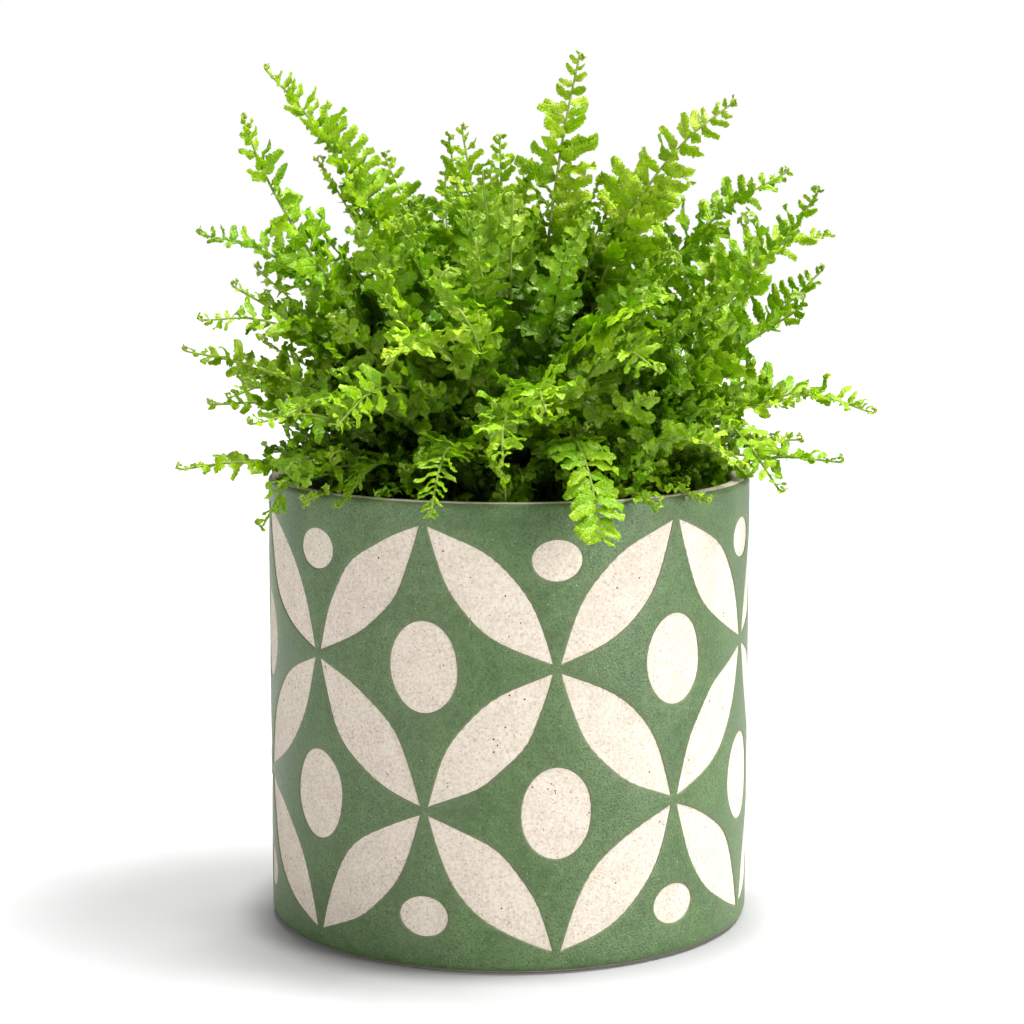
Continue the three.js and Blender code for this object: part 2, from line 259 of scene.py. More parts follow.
def arc(centre: tuple[float, float], radius: float, start: float, end: float, steps: int = 5) -> Array:
    """Returns the points of an arc in a profile, from one angle to the other, in degrees."""
    angles = np.radians(np.linspace(start, end, steps + 1))
    return np.column_stack([centre[0] + radius * np.cos(angles), centre[1] + radius * np.sin(angles)])


def straight(start: tuple[float, float], end: tuple[float, float], steps: int) -> Array:
    """Returns points along a straight part of a profile, without its two ends."""
    share = np.linspace(0, 1, steps + 1)[1:-1, None]
    return np.array(start) * (1 - share) + np.array(end) * share


def dress(piece: bpy.types.Object, slot: Slot, *nodes: str) -> None:
    """Puts a finished piece in the frame.

    Args:
        piece: the object.
        slot: the material slot that it belongs to; not used.
        nodes: the solid nodes that it replaces.
    """
    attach(piece, "root")
    if nodes:
        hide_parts(*nodes)
    faces = len(piece.data.polygons)
    LOG.info("%s: %d faces, stands for %s", piece.name, faces, ", ".join(nodes) or "no node")


class Shading:
    """A node tree, with short calls that add nodes and join them."""

    def __init__(self, tree: bpy.types.NodeTree) -> None:
        """Takes the tree to write in."""
        self.tree = tree

    def node(self, kind: str, inputs: dict | None = None, **settings: object) -> bpy.types.Node:
        """Adds a node.

        Args:
            kind: the node's type.
            inputs: what its inputs hold, by name or number: a value or another node's output.
            settings: the node's own properties.

        Returns:
            The new node.
        """
        made = self.tree.nodes.new(kind)
        for name, value in settings.items():
            setattr(made, name, value)
        for key, value in (inputs or {}).items():
            if isinstance(value, Socket):
                self.tree.links.new(value, made.inputs[key])
            else:
                made.inputs[key].default_value = value
        return made

    def link(self, output: object, target: Socket) -> None:
        """Joins an output to an input."""
        self.tree.links.new(output, target)

    def math(self, operation: str, *values: object) -> Socket:
        """Returns the result of a Math node on values or sockets."""
        return self.node("ShaderNodeMath", dict(enumerate(values)), operation=operation).outputs[0]

    def total(self, *terms: tuple[object, float]) -> Socket:
        """Returns the sum of values, each times its weight."""
        found = 0.0
        for value, weight in terms:
            found = self.math("MULTIPLY_ADD", value, weight, found)
        return found

    def rise(self, value: object, low: float, high: float) -> Socket:
        """Returns 0 up to low, 1 from high on and a smooth change between, or a fall if low is the larger."""
        inputs = {"Value": value, "From Min": low, "From Max": high}
        return self.node("ShaderNodeMapRange", inputs, interpolation_type="SMOOTHSTEP").outputs[0]

    def blend(self, share: object, first: object, second: object) -> Socket:
        """Returns two colours mixed by a share."""
        inputs = {0: share, 6: self.opaque(first), 7: self.opaque(second)}
        return self.node("ShaderNodeMix", inputs, data_type="RGBA").outputs[2]

    def tint(self, colour: object, other: object, mask: object, most: float) -> Socket:
        """Returns a colour that turns to another where a mask is 1, by this share at most."""
        return self.blend(self.math("MULTIPLY", mask, most), colour, other)

    def ramp(self, value: object, stops: list[tuple[float, Colour]]) -> Socket:
        """Returns the colour that a ramp has at a value, with stops of place and colour."""
        made = self.node("ShaderNodeValToRGB", {0: value})
        ramp = made.color_ramp
        while len(ramp.elements) < len(stops):
            ramp.elements.new(0.5)
        for element, (place, colour) in zip(ramp.elements, stops):
            element.position = place
            element.color = self.opaque(colour)
        return made.outputs[0]

    def noise(self, place: object, scale: object, detail: float = 3.0) -> Socket:
        """Returns soft noise of 0 to 1 at a place, with this many waves a metre."""
        return self.node("ShaderNodeTexNoise", {"Vector": place, "Scale": scale, "Detail": detail}).outputs[0]

    def cells(self, place: object, scale: object) -> bpy.types.Node:
        """Returns a pattern of random cells at a place, with this many a metre."""
        return self.node("ShaderNodeTexVoronoi", {"Vector": place, "Scale": scale})

    def mark(self, name: str) -> list[Socket]:
        """Returns the three numbers that a mark holds at each point."""
        vector = self.node("ShaderNodeAttribute", attribute_name=name).outputs["Vector"]
        return list(self.node("ShaderNodeSeparateXYZ", {0: vector}).outputs)

    @staticmethod
    def opaque(colour: object) -> object:
        """Returns a plain colour with its fourth number, and a socket as it is."""
        return (*colour, 1.0) if isinstance(colour, tuple) else colour


class Effects:
    """The shader node groups that more than one finish uses, and the calls that add them to a material."""

    def __init__(self) -> None:
        """Builds the groups once."""
        self._mottle_group = self._build_mottle()
        self._specks_group = self._build_specks()
        self._grain_group = self._build_grain()

    def mottle(self, shade: Shading, place: object, scale: float, fine: float) -> Socket:
        """Returns an uneven tone of 0 to 1, with this many patches a metre and this share of finer ones."""
        values = {"Place": place, "Scale": scale, "Fine Share": fine}
        return shade.node("ShaderNodeGroup", values, node_tree=self._mottle_group).outputs[0]

    def specks(self, shade: Shading, place: object, scale: float, size: float, share: float) -> Socket:
        """Returns a mask of specks of this size, in this share of the cells, with so many cells a metre."""
        values = {"Place": place, "Scale": scale, "Size": size, "Share": share}
        return shade.node("ShaderNodeGroup", values, node_tree=self._specks_group).outputs[0]

    def grain(self, shade: Shading, place: object, scale: float, pits: float) -> Socket:
        """Returns the height of a fine skin, with this many grains a metre and pits this deep."""
        values = {"Place": place, "Scale": scale, "Pits": pits}
        return shade.node("ShaderNodeGroup", values, node_tree=self._grain_group).outputs[0]

    @staticmethod
    def _new(name: str, inputs: dict[str, float], output: str) -> tuple[Shading, bpy.types.Node, object]:
        """Starts a group.

        Args:
            name: the group's name.
            inputs: its number inputs and their usual values, after a Place vector.
            output: the name of its one number output.

        Returns:
            The shading helper, the group's input node, and the socket that takes its result.
        """
        tree = bpy.data.node_groups.new(name, "ShaderNodeTree")
        tree.interface.new_socket("Place", in_out="INPUT", socket_type="NodeSocketVector")
        for key, value in inputs.items():
            number = tree.interface.new_socket(key, in_out="INPUT", socket_type="NodeSocketFloat")
            number.default_value = value
        tree.interface.new_socket(output, in_out="OUTPUT", socket_type="NodeSocketFloat")
        shade = Shading(tree)
        return shade, shade.node("NodeGroupInput"), shade.node("NodeGroupOutput").inputs[0]

    def _build_mottle(self) -> bpy.types.NodeTree:
        """Builds an uneven tone of 0 to 1, broad patches with finer ones in them."""
        shade, given, result = self._new("soft_mottle", {"Scale": 60.0, "Fine Share": 0.35}, "Tone")
        broad = shade.noise(given.outputs["Place"], given.outputs["Scale"])
        fine = shade.noise(given.outputs["Place"], shade.math("MULTIPLY", given.outputs["Scale"], 7.0))
        mixed = shade.node("ShaderNodeMix", {0: given.outputs["Fine Share"], 2: broad, 3: fine}).outputs[0]
        shade.link(shade.rise(mixed, 0.3, 0.7), result)
        return shade.tree

    def _build_specks(self) -> bpy.types.NodeTree:
        """Builds a mask of small separate specks of uneven size."""
        inputs = {"Scale": 400.0, "Size": 0.3, "Share": 0.2}
        shade, given, result = self._new("fine_specks", inputs, "Mask")
        cell = shade.cells(given.outputs["Place"], given.outputs["Scale"])
        draw = shade.node("ShaderNodeSeparateColor", {0: cell.outputs["Color"]})
        size = shade.math("MULTIPLY", given.outputs["Size"], shade.math("ADD", draw.outputs[1], 0.35))
        inside = shade.math("LESS_THAN", cell.outputs["Distance"], size)
        chosen = shade.math("LESS_THAN", draw.outputs[0], given.outputs["Share"])
        shade.link(shade.math("MULTIPLY", inside, chosen), result)
        return shade.tree

    def _build_grain(self) -> bpy.types.NodeTree:
        """Builds the height of a fine uneven skin, from pitted to sandy."""
        shade, given, result = self._new("surface_grain", {"Scale": 900.0, "Pits": 0.3}, "Height")
        skin = shade.noise(given.outputs["Place"], given.outputs["Scale"], 4.0)
        cell = shade.cells(given.outputs["Place"], given.outputs["Scale"]).outputs["Distance"]
        pit = shade.math("MULTIPLY", shade.rise(cell, 0.3, 0.0), given.outputs["Pits"])
        shade.link(shade.math("SUBTRACT", skin, pit), result)
        return shade.tree


class Finish:
    """What every finish shares: a material with one Principled shader and a place on the piece."""

    name: str

    def start(self, roughness: float, specular: float) -> tuple[Shading, bpy.types.Node, object]:
        """Makes the material.

        Args:
            roughness: its plain roughness.
            specular: its specular level.

        Returns:
            The shading helper, the Principled node, and the place on the object as a vector.
        """
        self.material = bpy.data.materials.new(self.name)
        self.material.use_nodes = True
        self.material.node_tree.nodes.clear()
        shade = Shading(self.material.node_tree)
        inputs = {"Roughness": roughness, "Specular IOR Level": specular}
        shader = shade.node("ShaderNodeBsdfPrincipled", inputs)
        self.output = shade.node("ShaderNodeOutputMaterial", {0: shader.outputs[0]})
        return shade, shader, shade.node("ShaderNodeTexCoord").outputs["Object"]

    @staticmethod
    def relief(shade: Shading, shader: bpy.types.Node, height: object, depth: float) -> None:
        """Feeds a height, and how deep it is in metres, to the shader's normal."""
        bump = shade.node("ShaderNodeBump", {"Strength": 1.0, "Distance": depth, "Height": height})
        shade.link(bump.outputs[0], shader.inputs["Normal"])


@dataclass
class GlazeFinish(Finish):
    """Sage green satin glaze: mottled, finely pitted, with pale flecks and thin at its edges."""

    name: str = "sage_glaze"
    deep: Colour = (0.066, 0.129, 0.035)
    light: Colour = (0.122, 0.214, 0.071)
    thin: Colour = (0.150, 0.180, 0.085)
    fleck: Colour = (0.42, 0.50, 0.36)
    pit: Colour = (0.035, 0.075, 0.030)
    roughness: tuple[float, float] = (0.28, 0.42)
    specular: float = 0.55
    mottle_scale: float = 55.0
    grain_scale: float = 1600.0
    grain_depth: float = 0.26 * MM
    pit_scale: float = 1250.0
    fleck_scale: float = 1700.0

    def build(self, effects: Effects) -> Material:
        """Returns the material."""
        shade, shader, place = self.start(self.roughness[0], self.specular)
        tone = effects.mottle(shade, place, self.mottle_scale, 0.55)
        colour = shade.blend(tone, self.deep, self.light)
        grain = effects.grain(shade, place, self.grain_scale, 0.5)
        colour = shade.tint(colour, self.pit, shade.rise(grain, 0.56, 0.3), 0.85)
        pits = effects.specks(shade, place, self.pit_scale, 0.24, 0.12)
        colour = shade.tint(colour, self.pit, pits, 0.7)
        flecks = effects.specks(shade, place, self.fleck_scale, 0.2, 0.03)
        colour = shade.tint(colour, self.fleck, flecks, 1.0)
        edge = shade.mark("glaze_mark")[0]
        shade.link(shade.tint(colour, self.thin, edge, 0.75), shader.inputs["Base Color"])
        least, most = self.roughness
        rough = shade.node("ShaderNodeMapRange", {"Value": tone, "To Min": least, "To Max": most})
        shade.link(rough.outputs[0], shader.inputs["Roughness"])
        self.relief(shade, shader, grain, self.grain_depth)
        return self.material


@dataclass
class ClayFinish(Finish):
    """Bare cream stoneware: sandy, dull, with sparse dark iron specks."""

    name: str = "bare_stoneware"
    deep: Colour = (0.62, 0.535, 0.44)
    light: Colour = (0.80, 0.72, 0.62)
    sand: Colour = (0.36, 0.26, 0.17)
    iron: Colour = (0.06, 0.03, 0.015)
    roughness: float = 0.82
    specular: float = 0.3
    mottle_scale: float = 160.0
    sand_scale: float = 1500.0
    iron_scale: float = 900.0
    grain_scale: float = 1700.0
    grain_depth: float = 0.16 * MM

    def build(self, effects: Effects) -> Material:
        """Returns the material."""
        shade, shader, place = self.start(self.roughness, self.specular)
        colour = shade.blend(effects.mottle(shade, place, self.mottle_scale, 0.7), self.deep, self.light)
        sand = effects.specks(shade, place, self.sand_scale, 0.42, 0.3)
        colour = shade.tint(colour, self.sand, sand, 0.45)
        iron = effects.specks(shade, place, self.iron_scale, 0.2, 0.06)
        colour = shade.tint(colour, self.iron, iron, 1.0)
        shade.link(colour, shader.inputs["Base Color"])
        grain = effects.grain(shade, place, self.grain_scale, 0.6)
        self.relief(shade, shader, grain, self.grain_depth)
        return self.material


@dataclass
class PlainFinish(Finish):
    """A dark finish with a mottled colour, a few pale specks and a grain: plastic, peat or stock."""

    name: str
    deep: Colour
    light: Colour
    speck: Colour
    roughness: float
    mottle_scale: float
    speck_share: float
    grain_scale: float
    grain_depth: float
    specular: float = 0.4

    def build(self, effects: Effects) -> Material:
        """Returns the material."""
        shade, shader, place = self.start(self.roughness, self.specular)
        colour = shade.blend(effects.mottle(shade, place, self.mottle_scale, 0.5), self.deep, self.light)
        specks = effects.specks(shade, place, self.mottle_scale * 3, 0.3, self.speck_share)
        shade.link(shade.tint(colour, self.speck, specks, 1.0), shader.inputs["Base Color"])
        self.relief(shade, shader, effects.grain(shade, place, self.grain_scale, 0.4), self.grain_depth)
        return self.material


NURSERY_PLASTIC = PlainFinish(
    name="nursery_plastic",
    deep=(0.010, 0.010, 0.009),
    light=(0.022, 0.021, 0.019),
    speck=(0.05, 0.045, 0.04),
    roughness=0.42,
    mottle_scale=90.0,
    speck_share=0.02,
    grain_scale=2200.0,
    grain_depth=0.05 * MM,
)
DAMP_PEAT = PlainFinish(
    name="peat",
    deep=(0.012, 0.007, 0.004),
    light=(0.055, 0.033, 0.018),
    speck=(0.16, 0.11, 0.06),
    roughness=0.9,
    mottle_scale=240.0,
    speck_share=0.1,
    grain_scale=1500.0,
    grain_depth=0.4 * MM,
)
BROWN_SCALES = PlainFinish(
    name="stock_scales",
    deep=(0.05, 0.022, 0.009),
    light=(0.17, 0.085, 0.03),
    speck=(0.27, 0.17, 0.07),
    roughness=0.75,
    mottle_scale=300.0,
    speck_share=0.15,
    grain_scale=1800.0,
    grain_depth=0.2 * MM,
)


@dataclass
class FloorFinish(Finish):
    """A plain matt floor that looks whiter than the light it throws back on the pot, with a painted contact
    shadow round the pot's foot, where its glow fades out.
    """

    name: str = "studio_floor"
    deep: Colour = (0.38, 0.38, 0.38)
    light: Colour = (0.40, 0.40, 0.40)
    roughness: float = 0.8
    specular: float = 0.0
    patch_scale: float = 3.0
    glow: float = 0.22
    # The glow fades out between these distances from the pot's axis: a painted contact shadow round its foot.
    painted_shadow_from: tuple[float, float] = (74 * MM, 90 * MM)

    def build(self) -> Material:
        """Returns the material."""
        shade, shader, place = self.start(self.roughness, self.specular)
        colour = shade.blend(shade.noise(place, self.patch_scale), self.deep, self.light)
        shade.link(colour, shader.inputs["Base Color"])
        seen = shade.node("ShaderNodeLightPath").outputs["Is Camera Ray"]
        away = shade.node("ShaderNodeVectorMath", {0: place}, operation="LENGTH").outputs["Value"]
        # Painted contact shadow: the glow is weaker near the pot's foot.
        glow = shade.math("MULTIPLY", shade.rise(away, *self.painted_shadow_from), self.glow)
        shade.link(shade.math("MULTIPLY", seen, glow), shader.inputs["Emission Strength"])
        shader.inputs["Emission Color"].default_value = (1, 1, 1, 1)
        return self.material


@dataclass
class LeafFinish(Finish):
    """Fern green that lets light through: lime tips, pale veins and ribs, brown lower stalks, and painted
    shade that darkens the leaves near the middle of the plant.
    """

    name: str = "fern_green"
    shade_green: Colour = (0.055, 0.215, 0.001)
    leaf_green: Colour = (0.205, 0.470, 0.001)
    fresh_green: Colour = (0.460, 0.700, 0.003)
    lime: Colour = (0.720, 0.800, 0.120)
    vein: Colour = (0.620, 0.740, 0.120)
    young_stalk: Colour = (0.460, 0.560, 0.110)
    stalk: Colour = (0.240, 0.380, 0.040)
    old_stalk: Colour = (0.110, 0.065, 0.020)
    through: Colour = (0.500, 0.840, 0.004)
    underside: Colour = (0.280, 0.500, 0.010)
    # The deep green of the painted shade near the middle of the plant.
    painted_shade_colour: Colour = (0.020, 0.078, 0.001)
    roughness: float = 0.23
    specular: float = 0.36
    through_share: float = 0.29
    veins_a_side: float = 9.0
    vein_share: float = 0.28
    vein_depth: float = 0.8
    mottle_scale: float = 210.0
    grain_scale: float = 1300.0
    crinkle_scale: float = 1500.0
    crinkle_painted_shade_share: float = 0.8
    relief_depth: float = 0.26 * MM
    # Painted shade: leaves near this point in the middle of the plant, within these two distances, are
    # darker.
    painted_shade_heart: tuple[float, float, float] = (0.0, 0.0, 140 * MM)
    painted_shade_size: tuple[float, float] = (86 * MM, 40 * MM)

    def build(self, effects: Effects) -> Material:
        """Returns the material."""
        shade, shader, place = self.start(self.roughness, self.specular)
        along, across, under = shade.mark("leaflet_mark")
        share, draw, fresh = shade.mark("frond_mark")
        # Painted shade: the nearer a point is to the middle of the plant, the darker its tone and colour.
        away = shade.node("ShaderNodeVectorMath", {0: place, 1: self.painted_shade_heart}, operation="DISTANCE").outputs[1]
        painted_shade_heart = shade.rise(away, *self.painted_shade_size)
        crinkle = shade.noise(place, self.crinkle_scale, 1.0)
        # The crinkle's noise also sets the tone, lighter where its bump rises and darker in its hollows:
        # painted light and shade on the crinkles.
        tone = shade.total(
            (fresh, 0.55),
            (effects.mottle(shade, place, self.mottle_scale, 0.4), 0.22),
            (draw, 0.22),
            (painted_shade_heart, -0.2),
            (shade.math("ABSOLUTE", across), 0.1),
            (shade.math("SUBTRACT", crinkle, 0.5), self.crinkle_painted_shade_share),
        )
        stops = [(0.1, self.shade_green), (0.42, self.leaf_green), (0.78, self.fresh_green), (1.0, self.lime)]
        veins = self._veins(shade, along, across)
        green = shade.tint(shade.ramp(tone, stops), self.vein, veins, self.vein_share)
        green = shade.tint(green, self.underside, shade.math("LESS_THAN", under, 0.0), 0.5)
        stalk = shade.blend(shade.rise(fresh, 0.3, 0.75), self.stalk, self.young_stalk)
        stalk = shade.blend(shade.rise(share, 0.22, 0.04), stalk, self.old_stalk)
        is_leaflet = shade.math("GREATER_THAN", shade.math("ABSOLUTE", under), 0.25)
        colour = shade.blend(is_leaflet, stalk, green)
        # Painted shade: near the middle of the plant the colour turns to a deep green.
        colour = shade.tint(colour, self.painted_shade_colour, painted_shade_heart, 0.62)
        shade.link(colour, shader.inputs["Base Color"])
        skin = effects.grain(shade, place, self.grain_scale, 0.2)
        height = shade.total((skin, 1.0), (crinkle, 1.0), (veins, -self.vein_depth))
        self.relief(shade, shader, height, self.relief_depth)
        thin = shade.node("ShaderNodeBsdfTranslucent", {"Color": shade.blend(0.45, self.through, colour)})
        layers = {0: self.through_share, 1: shader.outputs[0], 2: thin.outputs[0]}
        shade.link(shade.node("ShaderNodeMixShader", layers).outputs[0], self.output.inputs[0])
        return self.material

    def _veins(self, shade: Shading, along: object, across: object) -> Socket:
        """Returns a mask of a leaflet's middle vein and the side veins that leave it."""
        off = shade.math("ABSOLUTE", across)
        middle = shade.rise(off, 0.12, 0.03)
        slant = shade.math("SUBTRACT", along, shade.math("MULTIPLY", off, 0.16))
        phase = shade.math("MULTIPLY", slant, self.veins_a_side)
        line = shade.rise(shade.math("PINGPONG", phase, 0.5), 0.13, 0.03)
        return shade.math("MAXIMUM", middle, shade.math("MULTIPLY", line, 0.6))


@dataclass(frozen=True)
class Rib:
    """A frond's rib as the solid model has it, from its foot on the stock to its tip.

    Attributes:
        centres: points along the rib.
        sideways: the blade's sideways direction at each of them.
        reach_at: distances along the rib where the blade's half width is known.
        reach: the half widths there.
        fold: how steeply its leaflets stand up from the rib, in degrees.
    """

    centres: Array
    sideways: Array
    reach_at: Array
    reach: Array
    fold: float

    BLADE_THICKNESS = 0.75 * MM
    THICKNESS_SLACK = 0.03 * MM
    STATION_SPREAD = 3 * MM
    TIP_LENGTH = 4.5 * MM
    FULL_SHARE = 0.85

    @classmethod
    def read(cls, node: bpy.types.Object) -> Rib:
        """Finds the rib in a frond's solid.

        The blade's outline has its points in pairs, one blade thickness apart. What is left are the
        rib's stations, each with four corners.

        Args:
            node: the frond's node.

        Returns:
            Its rib.
        """
        points = np.unique(np.array([vertex.co for vertex in node.data.vertices]).round(5), axis=0)
        gaps = np.linalg.norm(points[:, None] - points[None], axis=2)
        paired = (np.abs(gaps - cls.BLADE_THICKNESS) < cls.THICKNESS_SLACK).any(axis=1)
        outline, corners = points[paired], points[~paired]
        near = np.linalg.norm(corners[:, None] - corners[None], axis=2) < cls.STATION_SPREAD
        groups = [corners[list(rows)] for rows in sorted({tuple(np.flatnonzero(row)) for row in near})]
        spreads = [np.linalg.norm(group - group[0], axis=1).max() for group in groups]
        left = list(range(len(groups)))
        order = [left.pop(int(np.argmax(spreads)))]
        centres = np.array([group.mean(axis=0) for group in groups])
        while left:
            steps = np.linalg.norm(centres[left] - centres[order[-1]], axis=1)
            order.append(left.pop(int(np.argmin(steps))))
        centres = centres[order]
        bearing = math.atan2(*(centres[-1] - centres[0])[[1, 0]])
        before = np.array([-math.sin(bearing), math.cos(bearing), 0.0])
        sideways = []
        for index in order:
            spokes = groups[index][1:] - groups[index][0]
            across = unit(spokes[np.argsort(np.linalg.norm(spokes, axis=1))[1]])
            before = across if across @ before > 0 else -across
            sideways.append(before)
        tip = centres[-1] + unit(centres[-1] - centres[-2]) * cls.TIP_LENGTH
        centres = np.vstack([centres, tip])
        sideways = np.array([*sideways, sideways[-1]])
        return cls(centres, sideways, *cls._reach(centres, sideways, outline))

    def full_width(self) -> Rib:
        """Returns the same rib for a flat blade that stays wide to its tip."""
        return replace(self, reach=np.maximum(self.reach, self.FULL_SHARE * self.reach.max()), fold=0.0)

    @staticmethod
    def _reach(centres: Array, sideways: Array, outline: Array) -> tuple[Array, Array, float]:
        """Measures how far the outline reaches sideways between neighbouring stations, and its fold.

        Args:
            centres: the rib's points.
            sideways: the sideways direction at each.
            outline: the points of the blade's outline.

        Returns:
            The distances along the rib, the half width at each, and the fold in degrees.
        """
        at = distances_along(centres)
        ways = unit(np.gradient(centres, axis=0))
        nearest = np.linalg.norm(outline[:, None] - centres[None], axis=2).argmin(axis=1)
        away = outline - centres[nearest]
        side = np.abs((away * sideways[nearest]).sum(axis=1))
        rise = (away * np.cross(ways, sideways)[nearest]).sum(axis=1)
        place = at[nearest] + (away * ways[nearest]).sum(axis=1)
        reach_at, reach = [], []
        for low, high in zip(at[:-1], at[1:]):
            here = side[(place >= low - MM) & (place < high + MM)]
            if len(here):
                reach_at.append((low + high) / 2)
                reach.append(here.max())
        wide = side > np.median(side) / 2
        fold = math.degrees(math.atan(np.median(rise[wide] / side[wide])))
        return np.array(reach_at), np.array(reach), fold


@dataclass(frozen=True)
class LeafletForm:
    """How one leaflet is cut into lobes, crisped and bent.

    Each lobe has a point in its middle and corners round it: its root on the middle vein, a notch, the
    points of its round rim and the next notch. The edge, the base and the tip are shared by the leaflet's
    two sides.

    Attributes:
        lobes: lobes a side.
        notch: depth of the cuts between lobes, as a share of the half width.
        crisp: how far the edge waves up and down, as a share of the half width.
        puff: how far the middle of each lobe stands up, as a share of the half width.
        rim_at: where the points of a lobe's rim are, as shares of the lobe.
        rim: how far out they are, as shares of the half width.
        thickness: at its middle vein.
        CENTRE: how far out the middle of a lobe is, as a share of the half width.
        BASE_WIDTH: the share of the half width at the base, and WIDENS where along it grows to all of it.
        TIP_TAPER: how much of the half width the tip loses, and the power of the length that it goes by.
        EAR: the bulge by the base on the side towards the frond's tip, and its place and size.
        FORWARD: how far the lobes lean to the leaflet's tip, as a share of the half width, and LESS_FORWARD
            how much of that is lost along it.
        UNEVEN: the range by which the edge's points are further out or in.
        PACE: the range of the edge's waves for each lobe.
        SWELL: the height of those waves, and TILT of each lobe's own.
        THINNER: the thickness beside the middle vein, as a share of that at it.
        BOW: the range of the leaflet's bend in its plane, as a share of its length.
        CUP: the range of its hollow across, as a share of the half width.
        DROOP: the range of its hanging tip, as a share of its length.
    """

    lobes: int
    notch: float = 0.3
    crisp: float = 0.6
    puff: float = 0.24
    rim_at: tuple[float, ...] = (0.07, 0.24, 0.42, 0.5, 0.59, 0.76, 0.93)
    rim: tuple[float, ...] = (0.9, 1.03, 1.0, 0.88, 1.0, 1.04, 0.93)
    thickness: float = 0.3 * MM

    CENTRE = 0.54
    BASE_WIDTH = 0.34
    WIDENS = (-0.02, 0.15)
    TIP_TAPER = (0.56, 2.8)
    EAR = (0.25, 0.12, 0.1)
    FORWARD = 0.34
    LESS_FORWARD = 0.7
    UNEVEN = (0.93, 1.07)
    PACE = (0.28, 0.52)
    SWELL = 0.75
    TILT = 0.5
    THINNER = 0.7
    BOW = (-0.03, 0.12)
    CUP = (-0.35, 0.5)
    DROOP = (-0.06, 0.3)

    @classmethod
    def plain(cls, lobes: int) -> LeafletForm:
        """Returns the form of a small leaflet, whose round lobes have no second scallop."""
        return cls(lobes, notch=0.26, rim_at=(0.14, 0.5, 0.86), rim=(0.94, 1.06, 0.94))

    def _layout(self) -> tuple[Array, Array, Array]:
        """Returns each point's place in lobes from the base, its side, and its share of the half width."""
        lobe = np.arange(self.lobes)
        edge = (lobe[:, None] + (0.0, *self.rim_at)).ravel()
        rim = np.tile([1 - self.notch, *self.rim], self.lobes)
        parts = [(np.arange(self.lobes + 1.0), 0.0, np.zeros(self.lobes + 1))]
        parts += [(lobe + 0.5, side, np.full(self.lobes, self.CENTRE)) for side in (1.0, -1.0)]
        parts += [(edge, side, rim) for side in (1.0, -1.0)]
        phase = np.concatenate([part[0] for part in parts])
        side = np.concatenate([np.full(len(part[0]), part[1]) for part in parts])
        return phase, side, np.concatenate([part[2] for part in parts])

    def _ripple(self, phase: Array, side: Array, rim: Array, count: int, rng: Draws) -> Array:
        """Returns how far each point is waved up or down, from about -1 to 1, for a batch of leaflets."""
        pace = rng.uniform(*self.PACE, (count, 1))
        start = rng.uniform(0, 1, (count, 2))[:, (side < 0).astype(int)]
        swell = np.sin(TURN * (phase * pace + start))
        index = np.minimum(phase.astype(int), self.lobes - 1) * 2 + (side < 0)
        tilt = rng.uniform(-1, 1, (count, 2 * self.lobes))[:, index] * (np.abs(rim - 1 + self.notch) > 1e-6)
        return (self.SWELL * swell + self.TILT * tilt) * rim

    def shape(self, length: Array, width: Array, rng: Draws) -> tuple[Array, Array]:
        """Shapes a batch of leaflets that lie along X, with Y towards the frond's tip.

        Args:
            length: each one's length.
            width: each one's width.
            rng: the seeded draws.

        Returns:
            The points by leaflet, the upper side's, the edge's and then the lower side's, and their marks:
            share of the length, share of the half width, and 1 on the upper side or -1 on the lower.
        """
        count, span, half = len(length), length[:, None], 0.5 * width[:, None]
        phase, side, rim = self._layout()
        along = phase / self.lobes
        taper, power = self.TIP_TAPER
        outline = self.BASE_WIDTH + (1 - self.BASE_WIDTH) * eased(along, *self.WIDENS)
        outline = outline * (1 - taper * along**power)
        ear, ear_at, ear_size = self.EAR
        bulge = 1 + ear * (side > 0) * np.exp(-(((along - ear_at) / ear_size) ** 2))
        off = rim * outline * bulge * rng.uniform(*self.UNEVEN, (count, len(phase)))
        forward = self.FORWARD * off * (1 - self.LESS_FORWARD * along) * (along < 1)
        x = span * along + half * forward
        y = side * half * off + rng.uniform(*self.BOW, (count, 1)) * span * along**2
        cup = rng.uniform(*self.CUP, (count, 1))
        droop = rng.uniform(*self.DROOP, (count, 1)) * span * along**2
        ripple = self._ripple(phase, side, rim, count, rng)
        lobe_middle = self.puff * np.isclose(rim, self.CENTRE)
        z = half * (self.crisp * ripple - cup * off**2 + lobe_middle) * (side != 0) - droop
        inner = self._inner
        swell = self.thickness / 2 * np.where(side == 0, 1.0, self.THINNER) * inner
        spots = np.stack(np.broadcast_arrays(x, y, z), axis=-1)
        rise = np.array([0, 0, 1]) * swell[:, None]
        points = np.concatenate([spots + rise, (spots - rise)[:, inner]], axis=1)
        marks = np.stack([along, side * np.minimum(rim, 1), np.ones(len(phase))], axis=1)
        marks = np.vstack([marks, marks[inner] * [1, 1, -1]])
        return points, np.broadcast_to(marks, (count, *marks.shape))

    @property
    def _inner(self) -> Array:
        """A mask of the points that the upper and lower side each have for themselves."""
        mask = np.zeros(self.lobes * (3 + 2 * self._edge_points) + 1, bool)
        mask[1 : self.lobes] = True
        mask[self.lobes + 1 : 3 * self.lobes + 1] = True
        return mask

    @property
    def _edge_points(self) -> int:
        """How many points each lobe has on the edge."""
        return 1 + len(self.rim)

